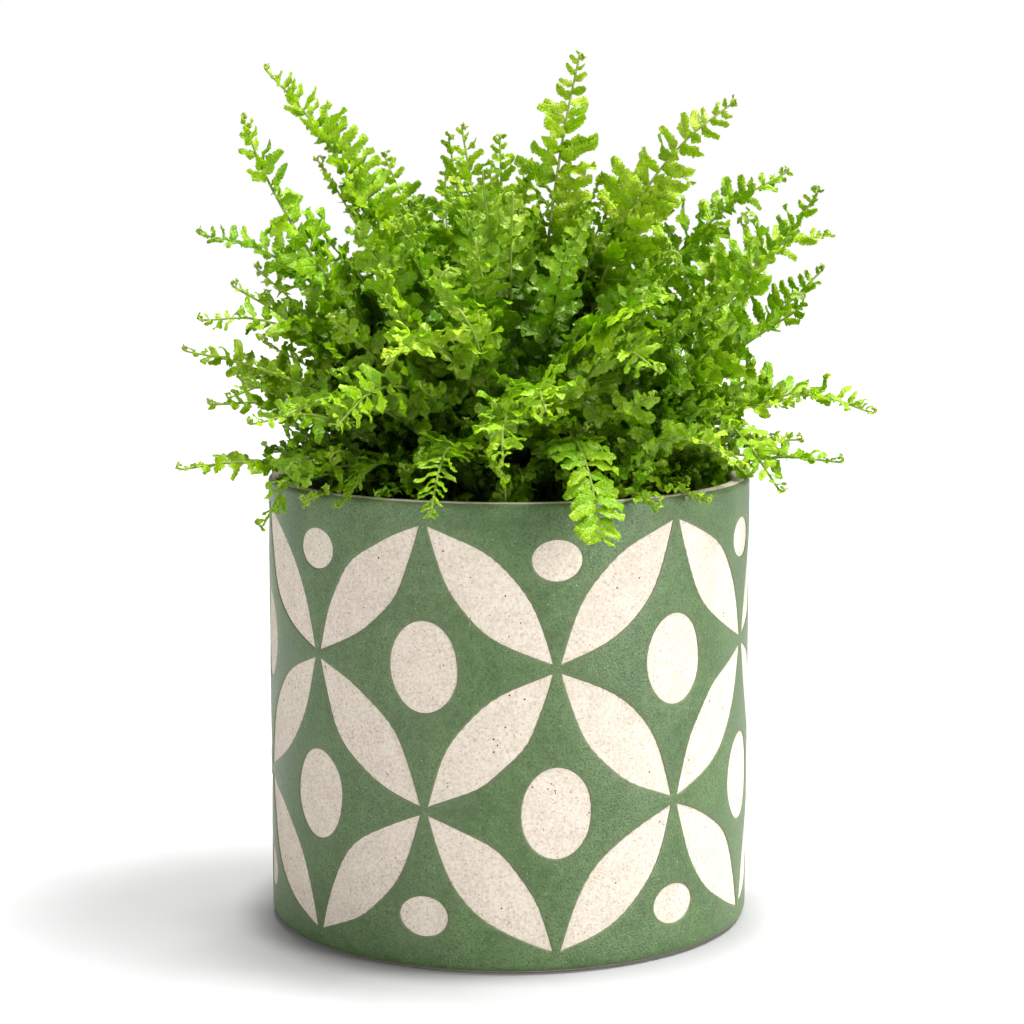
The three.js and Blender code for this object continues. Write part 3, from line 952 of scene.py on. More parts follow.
    def faces(self) -> tuple[Array, Array]:
        """Returns one leaflet's three-sided faces, and a mask of the points on its edge."""
        lobes, inner, step = self.lobes, self._inner, self._edge_points
        below = np.arange(len(inner))
        below[inner] = len(inner) + np.arange(inner.sum())
        faces = []
        for lobe in range(lobes):
            for place, turn in ((0, 1), (1, -1)):
                centre = lobes + 1 + place * lobes + lobe
                edge = (3 + place * step) * lobes + 1 + step * lobe
                last = edge + step if lobe < lobes - 1 else lobes
                ring = list(dict.fromkeys([lobe, *range(edge, edge + step), last, lobe + 1]))
                for first, second in zip(ring, ring[1:] + ring[:1]):
                    top = [centre, second, first][::turn]
                    faces += [top, [below[i] for i in reversed(top)]]
        return np.array(faces), np.concatenate([~inner, np.zeros(inner.sum(), bool)])


@dataclass
class FernSizes:
    """Sizes that fronds of one kind share. Sweeps, lifts, twists and turns are in degrees.

    Attributes:
        stalk_share: the share of the rib that is a bare stalk.
        pitch: the step from one leaflet to the next, on the other side of the rib.
        tip_pitch: the same step at the tip.
        taper_from_tip: distances from the tip at which a leaflet's greatest length is given.
        taper_reach: those lengths.
        base_sweep: how far the lowest leaflets point to the frond's tip, and tip_sweep the last ones.
        knob_length: the length of rib that is rolled to a knob at its tip, and curl_length on a curled one.
        lift_spread: how unevenly the leaflets stand up from the blade.
        twist: how far a leaflet turns about its own middle, and twist_spread how unevenly.
        forms: how leaflets from these lengths up are cut, the longest first.
    """

    stalk_share: float = 0.16
    foot_radius: float = 1.0 * MM
    rib_radius: float = 0.7 * MM
    tip_radius: float = 0.3 * MM
    rib_step: float = 2.6 * MM
    tip_step: float = 0.7 * MM
    slimmest_leaflet: float = 0.5 * MM
    width_of_length: float = 0.37
    pitch: float = 2.15 * MM
    tip_pitch: float = 1.45 * MM
    bare_tip: float = 1.6 * MM
    taper_from_tip: tuple[float, ...] = (0.0, 3 * MM, 9 * MM, 16 * MM, 25 * MM, 40 * MM, 55 * MM)
    taper_reach: tuple[float, ...] = (1.3 * MM, 2.1 * MM, 3.9 * MM, 6.5 * MM, 9 * MM, 12.5 * MM, 17 * MM)
    base_sweep: float = 4.0
    tip_sweep: float = 32.0
    knob_length: float = 4.2 * MM
    knob_radius: float = 0.5 * MM
    curl_length: float = 14 * MM
    curl_turn: float = 290.0
    lift_spread: float = 20.0
    twist: float = -16.0
    twist_spread: float = 28.0
    forms: tuple[tuple[float, LeafletForm], ...] = (
        (12.5 * MM, LeafletForm(5)),
        (9.5 * MM, LeafletForm(4)),
        (6.5 * MM, LeafletForm(3)),
        (3.6 * MM, LeafletForm.plain(3)),
        (0.0, LeafletForm.plain(2)),
    )

    @classmethod
    def close_set(cls) -> FernSizes:
        """Returns the sizes of a folded frond with narrow leaflets close together."""
        return cls(pitch=1.7 * MM, tip_pitch=1.4 * MM, width_of_length=0.32, twist_spread=20.0)

    @classmethod
    def feathery(cls) -> FernSizes:
        """Returns the sizes of a frond with narrow finger-like leaflets in two even rows."""
        return cls(
            pitch=1.15 * MM,
            tip_pitch=1.1 * MM,
            width_of_length=0.16,
            lift_spread=9.0,
            twist_spread=14.0,
            base_sweep=24.0,
            tip_sweep=46.0,
            forms=((0.0, LeafletForm.plain(4)),),
        )

    @classmethod
    def blunt(cls) -> FernSizes:
        """Returns the sizes of a flat frond whose leaflets lie edge to edge up to a blunt tip."""
        return cls(
            pitch=1.8 * MM,
            width_of_length=0.5,
            taper_reach=tuple(reach * 1.9 for reach in cls().taper_reach),
            lift_spread=6.0,
            twist=-9.0,
            twist_spread=10.0,
            forms=(
                (6.5 * MM, LeafletForm(4, notch=0.2, crisp=0.28)),
                (3.6 * MM, LeafletForm(3, notch=0.2, crisp=0.25)),
                (0.0, LeafletForm.plain(3)),
            ),
        )

    @classmethod
    def young(cls) -> FernSizes:
        """Returns the sizes of the short fronds that fill the plant."""
        return cls(
            stalk_share=0.3,
            width_of_length=0.46,
            pitch=2.6 * MM,
            rib_radius=0.4 * MM,
            base_sweep=0.0,
            rib_step=4 * MM,
            forms=(
                (9.5 * MM, LeafletForm.plain(5)),
                (6.5 * MM, LeafletForm.plain(4)),
                (0.0, LeafletForm.plain(3)),
            ),
        )


@dataclass
class Frond:
    """One frond: a round rib that carries overlapping leaflets on both sides.

    Attributes:
        number: which frond it is.
        rib: its rib in the solid model.
        sizes: what it shares with the others.
        clearance: keeps points out of the pots and the peat.
        curled: whether its young tip is still rolled up.
        tone: how fresh its green is, from 0 to 1.
        RIB_ENDS: how the rib's six corners close an end.
        THICK_FOOT: the share of the rib over which its foot thins.
        KNOB_CORE: how much of the knob at the tip is at its full size.
        LENGTH_RANGE: how unevenly long the leaflets are, WIDTH_RANGE how unevenly wide, and PITCH_RANGE how
            unevenly they are spaced.
        CLOSER_FROM: the distance from the tip where they begin to stand closer.
        SWEEP_FROM: the share of the rib where they begin to point further forward.
        SEATED: how deep their base is in the rib, as a share of its radius.
        FRESHER: how much fresher they are towards the tip, evenly and by a power, and the power.
    """

    number: int
    rib: Rib
    sizes: FernSizes
    clearance: Clearance
    curled: bool
    tone: float

    STEP = 0.5 * MM
    SEED = 4000
    CURL_POWER = 1.4
    RIB_SIDES = 6
    RIB_ENDS = ([0, 3, 2, 1], [0, 5, 4, 3])
    THICK_FOOT = 0.3
    KNOB_CORE = 1.5 * MM
    LENGTH_RANGE = (0.84, 1.12)
    WIDTH_RANGE = (0.85, 1.2)
    PITCH_RANGE = (0.85, 1.15)
    CLOSER_FROM = 25 * MM
    SWEEP_FROM = 0.2
    SWEEP_SPREAD = 0.13
    SEATED = 0.3
    FRESHER = (0.1, 0.22, 6)
    MARKS = ("leaflet_mark", "frond_mark")

    def __post_init__(self) -> None:
        """Lays out the rib in fine steps, with its three directions."""
        rolled = self.sizes.curl_length if self.curled else self.sizes.knob_length
        ends = self.rib.centres[-2:]
        spare = rolled * (1 - 1 / math.radians(self.sizes.curl_turn))
        tip = ends[1] + unit(ends[1] - ends[0]) * spare
        curve = SmoothCurve(np.vstack([self.rib.centres, tip]))
        self.length = curve.at[-1]
        self.at = np.linspace(0, self.length, max(8, int(self.length / self.STEP)))
        self.points = curve(self.at)
        sideways = np.vstack([self.rib.sideways, self.rib.sideways[-1]])
        across = np.column_stack([np.interp(self.at, curve.at, axis) for axis in sideways.T])
        self._set_ways(across)
        self._curl_tip(rolled)
        self.rng = np.random.default_rng(self.SEED + self.number)

    def _set_ways(self, across: Array) -> None:
        """Works out the way along the rib, across the blade and up from it."""
        self.along = unit(np.gradient(self.points, axis=0))
        self.across = unit(across - self.along * (across * self.along).sum(1, keepdims=True))
        self.up = np.cross(self.along, self.across)

    def _curl_tip(self, rolled: float) -> None:
        """Rolls this last length of the rib back over the blade's upper side."""
        share = np.clip((self.at - self.length + rolled) / rolled, 0, 1)
        first = int(np.argmax(share > 0))
        angles = -np.radians(self.sizes.curl_turn) * share[first:] ** self.CURL_POWER
        axes = np.repeat(self.across[first : first + 1], len(angles), axis=0)
        ways = turned(np.repeat(self.along[first : first + 1], len(angles), axis=0), axes, angles)
        steps = np.diff(self.at)[first - 1 :][: len(angles)]
        self.points[first:] = self.points[first - 1] + np.cumsum(ways * steps[:, None], axis=0)
        self._set_ways(self.across)

    def _frame(self, at: Array) -> tuple[Array, Array, Array, Array]:
        """Returns the point and the three directions at distances along the rib."""
        i = np.clip(np.searchsorted(self.at, at), 0, len(self.at) - 1)
        return self.points[i], self.along[i], self.across[i], self.up[i]

    def _radius(self, at: Array) -> Array:
        """Returns the rib's radius at distances along it: it thins to the rolled knob at its tip."""
        sizes, rest = self.sizes, self.length - at
        radii = [sizes.foot_radius, sizes.rib_radius, sizes.tip_radius]
        rib = np.interp(at / self.length, [0, self.THICK_FOOT, 1], radii)
        knob_at = [0, self.KNOB_CORE, sizes.knob_length]
        knob = np.interp(rest, knob_at, [sizes.knob_radius, sizes.knob_radius, 0])
        return np.maximum(rib, knob)

    def _add_rib(self, mesh: PieceMesh) -> None:
        """Adds the rib, as a round stalk that thins to the tip."""
        sizes = self.sizes
        rolled = self.length - (sizes.curl_length if self.curled else sizes.knob_length)
        at = np.linspace(0, rolled, int(rolled / sizes.rib_step))
        at = np.concatenate([at, np.arange(rolled + sizes.tip_step, self.length, sizes.tip_step)])
        centre, _, across, up = self._frame(at)
        sides = self.RIB_SIDES
        angles = np.arange(sides) * TURN / sides
        radius = self._radius(at)[:, None, None]
        spokes = np.cos(angles)[:, None] * across[:, None] + np.sin(angles)[:, None] * up[:, None]
        points = self.clearance.pushed((centre[:, None] + spokes * radius).reshape(-1, 3))
        ring, side = np.meshgrid(np.arange(len(at) - 1), np.arange(sides), indexing="ij")
        beside = (side + 1) % sides
        here, ahead = ring * sides, (ring + 1) * sides
        walls = np.stack([here + side, here + beside, ahead + beside, ahead + side], axis=-1).reshape(-1, 4)
        last = (len(at) - 1) * sides
        far_ends = [[last + i for i in reversed(row)] for row in self.RIB_ENDS]
        caps = np.array([*self.RIB_ENDS, *far_ends])
        share = np.repeat(at / self.length, sides)
        frond_mark = np.column_stack([share, np.full_like(share, 0.5), np.full_like(share, self.tone)])
        mesh.add(points, walls, caps, leaflet_mark=(0.0, 0.0, 0.0), frond_mark=frond_mark)

    def _places(self) -> tuple[Array, Array, Array, Array]:
        """Spaces the leaflets along the rib, closer where they are smaller.

        Returns:
            Each one's distance along the rib, side, length and width.
        """
        sizes, rng, rows, side = self.sizes, self.rng, [], 1.0
        at = self.length * sizes.stalk_share
        while at < self.length - sizes.bare_tip:
            rest = self.length - at
            reach = float(np.interp(at, self.rib.reach_at, self.rib.reach))
            reach = min(reach, float(np.interp(rest, sizes.taper_from_tip, sizes.taper_reach)))
            reach *= rng.uniform(*self.LENGTH_RANGE)
            width = sizes.width_of_length * reach * rng.uniform(*self.WIDTH_RANGE)
            width += sizes.slimmest_leaflet
            rows.append((at, side, reach, width))
            pitch = np.interp(rest, [0, self.CLOSER_FROM], [sizes.tip_pitch, sizes.pitch])
            at += float(pitch) * rng.uniform(*self.PITCH_RANGE)
            side = -side
        return tuple(np.array(rows).T)

    def _leaflets(
        self, at: Array, side: Array, length: Array, width: Array, form: LeafletForm, mesh: PieceMesh
    ) -> None:
        """Adds a batch of leaflets.

        Args:
            at: distances along the rib.
            side: 1 or -1 for the side of the rib.
            length: their lengths.
            width: their widths.
            form: how they are cut.
            mesh: the piece that takes them.
        """
        if not len(at):
            return
        rng, count, sizes = self.rng, len(at), self.sizes
        base, forward, across, up = self._frame(at)
        share = at / self.length
        sweep = np.radians(np.interp(share, [self.SWEEP_FROM, 1], [sizes.base_sweep, sizes.tip_sweep]))
        sweep += rng.normal(0, self.SWEEP_SPREAD, count)
        lift = np.radians(rng.normal(self.rib.fold, sizes.lift_spread, count))
        twist = side * np.radians(rng.normal(sizes.twist, sizes.twist_spread, count))
        out = np.cos(sweep)[:, None] * side[:, None] * across + np.sin(sweep)[:, None] * forward
        out = unit(np.cos(lift)[:, None] * out + np.sin(lift)[:, None] * up)
        top = unit(up - out * (up * out).sum(1, keepdims=True))
        top = turned(top, out, twist)
        front = -side[:, None] * np.cross(top, out)
        local, mark = form.shape(length, width, rng)
        faces, edge = form.faces()
        start = base + out * self._radius(at)[:, None] * self.SEATED
        ways = np.stack([out, front, top], axis=1)
        points = start[:, None] + np.einsum("npk,nkd->npd", local, ways)
        frond_mark = np.stack([share, rng.random(count), np.full(count, self.tone)], axis=1)
        evenly, at_tip, power = self.FRESHER
        frond_mark[:, 2] += evenly * (share - 0.5) + at_tip * share**power
        each = points.shape[1]
        faces = np.where(side[:, None, None] > 0, faces[:, ::-1], faces)
        faces = faces + (np.arange(count) * each)[:, None, None]
        mesh.add(
            self.clearance.pushed(points.reshape(-1, 3)),
            faces.reshape(-1, 3),
            edge=np.tile(edge, count),
            leaflet_mark=mark.reshape(-1, 3),
            frond_mark=np.repeat(frond_mark, each, axis=0),
        )

    def add_to(self, mesh: PieceMesh) -> None:
        """Adds the whole frond to a piece."""
        self._add_rib(mesh)
        at, side, length, width = self._places()
        longest = math.inf
        for shortest, form in self.sizes.forms:
            chosen = (length >= shortest) & (length < longest)
            self._leaflets(at[chosen], side[chosen], length[chosen], width[chosen], form, mesh)
            longest = shortest


@dataclass(frozen=True)
class Clearance:
    """Keeps leaves clear of the cover pot's wall and the peat."""

    wall_inside: float
    wall_outside: float
    wall_top: float
    peat_top: float
    gap: float = 0.35 * MM
    stock_radius: float = 30 * MM

    def pushed(self, points: Array) -> Array:
        """Moves points that are in the wall or the peat to the nearest free place.

        Args:
            points: the points, one a row.

        Returns:
            The points, moved where needed.
        """
        points = points.copy()
        radius = np.maximum(np.hypot(points[:, 0], points[:, 1]), 1e-9)
        floor = self.peat_top + self.gap
        low = (radius < self.wall_inside) & (points[:, 2] < floor) & (radius > self.stock_radius)
        points[low, 2] = floor
        inner, outer = self.wall_inside - self.gap, self.wall_outside + self.gap
        top = self.wall_top + self.gap
        inside = (radius > inner) & (radius < outer) & (points[:, 2] < top)
        moves = np.stack([top - points[:, 2], outer - radius, radius - inner])
        choice = moves.argmin(axis=0)
        lift, spread, pull = (inside & (choice == way) for way in range(3))
        points[lift, 2] = top
        for mask, goal in ((spread, outer), (pull, inner)):
            points[mask, :2] *= (goal / radius[mask])[:, None]
        return points


@dataclass
class Fern:
    """The fronds of the fern, one piece for each.

    Attributes:
        nodes: the frame's nodes by name.
        clearance: keeps the leaves out of the pot and the peat.
        sizes: of most fronds.
        blunt_sizes: of the fronds named in blunt.
        close_sizes: of the fronds that are folded more steeply than steep_fold, in degrees.
        feathery_sizes: of the fronds named in feathery.
        curled: the fronds whose tips are still rolled up.
        fresh: the fronds with one even middle green.
    """

    nodes: dict[str, bpy.types.Object]
    clearance: Clearance
    sizes: FernSizes = field(default_factory=FernSizes)
    blunt_sizes: FernSizes = field(default_factory=FernSizes.blunt)
    close_sizes: FernSizes = field(default_factory=FernSizes.close_set)
    feathery_sizes: FernSizes = field(default_factory=FernSizes.feathery)
    steep_fold: float = 22.0
    curled: frozenset[int] = frozenset({18, 21, 31})
    fresh: frozenset[int] = frozenset({11, 12, 13, 30, 33, 37})
    blunt: frozenset[int] = frozenset({13, 30, 33})
    feathery: frozenset[int] = frozenset({11, 12})

    SEED = 900
    FRESH_TONE = 0.44
    TONES = (0.36, 0.74)

    def build(self, material: Material) -> None:
        """Builds and dresses every frond."""
        names = sorted(name for name in self.nodes if name.startswith("frond_"))
        for name in names:
            number = int(name.split("_")[1])
            rng = np.random.default_rng(self.SEED + number)
            tone = self.FRESH_TONE if number in self.fresh else rng.uniform(*self.TONES)
            rib, sizes = Rib.read(self.nodes[name]), self.sizes
            if rib.fold > self.steep_fold:
                sizes = self.close_sizes
            if number in self.feathery:
                sizes = self.feathery_sizes
            if number in self.blunt:
                rib, sizes = rib.full_width(), self.blunt_sizes
            mesh = PieceMesh(*Frond.MARKS)
            Frond(number, rib, sizes, self.clearance, number in self.curled, tone).add_to(mesh)
            dress(mesh.build(f"{name}_leaflets", material), Slot.LEAF, name)


@dataclass(frozen=True)
class Tier:
    """A ring of young fronds that stand alike round the stock.

    Attributes:
        fronds: how many there are.
        reach: how far their tips are from the middle.
        height: how high their tips are.
        half: their blades' half width.
    """

    fronds: int
    reach: float
    height: float
    half: float


@dataclass
class YoungFronds:
    """Short young fronds among the long ones, which fill the plant out to the pot's rim.

    Attributes:
        clearance: keeps their leaves out of the pot and the peat.
        stock_top: the height of the stock that they stand on.
        sizes: what they share.
        fold: how steeply their leaflets stand up from the rib, in degrees.
        tiers: the rings that they stand in, from the rim to the middle.
        tones: the range of how fresh they are, set lower than the long fronds' as painted shade on these
            fronds inside the plant.
        between: the tips of single ones in gaps of the plant, in millimetres.
        between_half: the half width of those, and between_tones how fresh they are.
        FOOT_SHARE: how far out their feet are, as a share of their reach.
        FOOT_DEPTH: how deep the feet are in the stock.
        FOOT_LEAN: how far they lean out at the foot, FOOT_PULL how long that lasts, and TIP_PULL how long
            the tip keeps its own slope.
        LEVEL_TIP: the height at which a tip lies level, and STEEPER_BY the height over which it steepens.
        SWING: how far a tip points aside, and TURNED how far the blade is turned, in degrees.
        WIDE_AT: shares of the rib, each with the share of the half width there.
        STRAY: how unevenly a ring's fronds stand, in steps of it, and RAISED_BY how unevenly high, in
            millimetres.
    """

    clearance: Clearance
    stock_top: float
    sizes: FernSizes = field(default_factory=FernSizes.young)
    fold: float = 16.0
    tiers: tuple[Tier, ...] = (
        Tier(16, 64 * MM, 134 * MM, 12 * MM),
        Tier(22, 80 * MM, 146 * MM, 14 * MM),
        Tier(19, 80 * MM, 168 * MM, 13 * MM),
        Tier(17, 73 * MM, 190 * MM, 13 * MM),
        Tier(14, 57 * MM, 208 * MM, 12 * MM),
        Tier(11, 38 * MM, 222 * MM, 12 * MM),
        Tier(6, 14 * MM, 226 * MM, 10 * MM),
    )
    # Darker than the long fronds: painted shade on the fronds inside the plant.
    tones: tuple[float, float] = (0.2, 0.65)
    between: tuple[tuple[float, float, float], ...] = (
        (-60, 10, 236), (-77, -15, 203), (-75, -20, 181), (-83, -10, 168), (-49, -5, 219), (-60, -58, 137),
        (29, 5, 230), (44, 10, 236), (64, -50, 157), (89, -20, 151), (90, -30, 166), (58, -62, 137),
        (-30, -64, 147), (4, -68, 144), (-52, -50, 146), (44, -60, 148), (22, -62, 158), (-12, -60, 160),
    )
    between_half: float = 12 * MM
    between_tones: tuple[float, float] = (0.4, 0.78)

    SEED = 1300
    FIRST_NUMBER = 100
    CURLED_SHARE = 0.12
    FOOT_SHARE = 0.24
    FOOT_DEPTH = 4 * MM
    FOOT_LEAN = 0.35
    FOOT_PULL = 0.42
    TIP_PULL = 0.32
    LEVEL_TIP = 150 * MM
    STEEPER_BY = 60 * MM
    SWING = 0.16
    TURNED = 42.0
    RIB_POINTS = 9
    WIDE_AT = ((0.1, 0.6), (0.35, 1.0), (1.0, 0.75))
    STRAY = 0.25
    REACH_RANGE = (0.88, 1.06)
    RAISED_BY = 7

    def _rib(self, tip: Array, half: float, rng: Draws) -> Rib:
        """Returns the rib of one young frond, an arch from the stock to its tip.

        The arch is a cubic curve. It leaves the stock steeply, and its tip hangs, lies level or rises as
        the tip is low or high. The blade is turned a little about the rib.

        Args:
            tip: where it ends.
            half: its blade's half width.
            rng: the seeded draws.

        Returns:
            The rib.
        """
        reach, height = math.hypot(tip[0], tip[1]), tip[2]
        out = np.array([tip[0], tip[1], 0.0]) / reach
        beside = np.array([-out[1], out[0], 0.0])
        swing = beside * rng.uniform(-self.SWING, self.SWING)
        foot = out * self.FOOT_SHARE * reach + [0, 0, self.stock_top - self.FOOT_DEPTH]
        span = np.linalg.norm(tip - foot)
        rise = foot + unit(out * self.FOOT_LEAN + [0, 0, 1]) * self.FOOT_PULL * span
        slope = (height - self.LEVEL_TIP) / self.STEEPER_BY
        arrive = tip - unit(out + swing + [0, 0, slope]) * self.TIP_PULL * span
        share = np.linspace(0, 1, self.RIB_POINTS)[:, None]
        rest = 1 - share
        centres = rest**3 * foot + 3 * rest**2 * share * rise + 3 * rest * share**2 * arrive + share**3 * tip
        along = unit(np.gradient(centres, axis=0))
        turn = np.full(self.RIB_POINTS, math.radians(rng.uniform(-self.TURNED, self.TURNED)))
        across = turned(np.repeat([beside], self.RIB_POINTS, axis=0), along, turn)
        at = distances_along(centres)
        return Rib(centres, across, at, np.interp(at / at[-1], *zip(*self.WIDE_AT)) * half, self.fold)

    def _ring(self, index: int, tier: Tier) -> Array:
        """Returns where the tips of one ring of fronds are."""
        rng, count = np.random.default_rng(self.SEED + index), tier.fronds
        places = np.arange(count) + 0.5 * (index % 2) + rng.uniform(-self.STRAY, self.STRAY, count)
        bearings = places * TURN / count
        reach = tier.reach * rng.uniform(*self.REACH_RANGE, count)
        height = tier.height + rng.uniform(-self.RAISED_BY, self.RAISED_BY, count) * MM
        return np.column_stack([reach * np.cos(bearings), reach * np.sin(bearings), height])

    def build(self, material: Material) -> None:
        """Builds and dresses one piece for each ring, and one for the fronds between the long ones."""
        groups = [(self._ring(index, tier), tier.half, self.tones) for index, tier in enumerate(self.tiers)]
        groups.append((np.array(self.between) * MM, self.between_half, self.between_tones))
        number = self.FIRST_NUMBER
        for index, (tips, half, tones) in enumerate(groups):
            mesh = PieceMesh(*Frond.MARKS)
            for tip in tips:
                rng = np.random.default_rng(self.SEED + number)
                rib = self._rib(tip, half, rng)
                curled = rng.random() < self.CURLED_SHARE
                Frond(number, rib, self.sizes, self.clearance, curled, rng.uniform(*tones)).add_to(mesh)
                number += 1
            dress(mesh.build(f"young_fronds_{index + 1}", material), Slot.LEAF)


@dataclass(frozen=True)
class BareShape:
    """One bare shape on the unrolled wall, centred at x round the pot and z up, leaning by an angle.

    Attributes:
        x: the place of its middle round the pot.
        z: its height.
        lean: how far its long way leans to the right, in degrees.
        length: its length.
        width: its width.
        pointed: true for a lens with pointed ends, false for an oval.
    """

    x: float
    z: float
    lean: float
    length: float
    width: float
    pointed: bool = True

    POINT_STEP = 0.85 * MM
    SWAY = (0.36 * MM, 26 * MM)
    RAGGED = (0.11 * MM, 2.8 * MM)

    def outline(self, rng: Draws) -> Array:
        """Returns its closed outline, a little uneven as if cut by hand."""
        share = np.linspace(0, 1, max(10, int(self.length / self.POINT_STEP)) + 1)
        if self.pointed:
            half = self.width / 2 * np.sin(math.pi * share)
        else:
            share = (1 - np.cos(math.pi * share)) / 2
            half = self.width * np.sqrt(share * (1 - share))
        share, half = share[1:-1], half[1:-1]
        places = share[:, None] * self.length
        sides = []
        for sign in (1, -1):
            uneven = sum(size * waves(places, length, rng, 3) for size, length in (self.SWAY, self.RAGGED))
            edge = sign * (half + uneven * np.sin(math.pi * share))
            sides.append(np.column_stack([edge, places[:, 0]]))
        rows = np.vstack([[[0, 0]], sides[0], [[0, self.length]], sides[1][::-1]])
        rows[:, 1] -= self.length / 2
        turn = math.radians(self.lean)
        x = rows[:, 0] * math.cos(turn) + rows[:, 1] * math.sin(turn)
        z = rows[:, 1] * math.cos(turn) - rows[:, 0] * math.sin(turn)
        return np.column_stack([self.x + x, self.z + z])


@dataclass(frozen=True)
class Lattice:
    """The bare ornament: lenses in a zigzag, tip to tip, and an oval in each cell of their lattice."""

    columns: int = 12
    rows: int = 3
    margin: float = 5.5 * MM
    tip_gap: float = 1.9 * MM
    lens_width: float = 17.5 * MM
    oval: tuple[float, float] = (27 * MM, 21 * MM)
    dot: tuple[float, float] = (12 * MM, 15 * MM)
    dot_inset: float = 11 * MM

    def shapes(self, length_round: float, height: float) -> list[BareShape]:
        """Returns the shapes on a wall of this length round and this height."""
        step, rise = length_round / self.columns, (height - 2 * self.margin) / self.rows
        lens = math.hypot(step, rise) - 2 * self.tip_gap
        lean = math.degrees(math.atan2(step, rise))
        found = []
        for column in range(self.columns):
            for row in range(self.rows):
                way = 1 if (row + column) % 2 == 0 else -1
                z = self.margin + (row + 0.5) * rise
                found.append(BareShape((column + 0.5) * step, z, way * lean, lens, self.lens_width))
            for level in range(self.rows + 1):
                if (level + column) % 2 == 0:
                    continue
                z, (tall, wide) = self.margin + level * rise, self.oval
                if level in (0, self.rows):
                    z += self.dot_inset if level == 0 else -self.dot_inset
                    tall, wide = self.dot
                found.append(BareShape(column * step, z, 0.0, tall, wide, pointed=False))
        return found


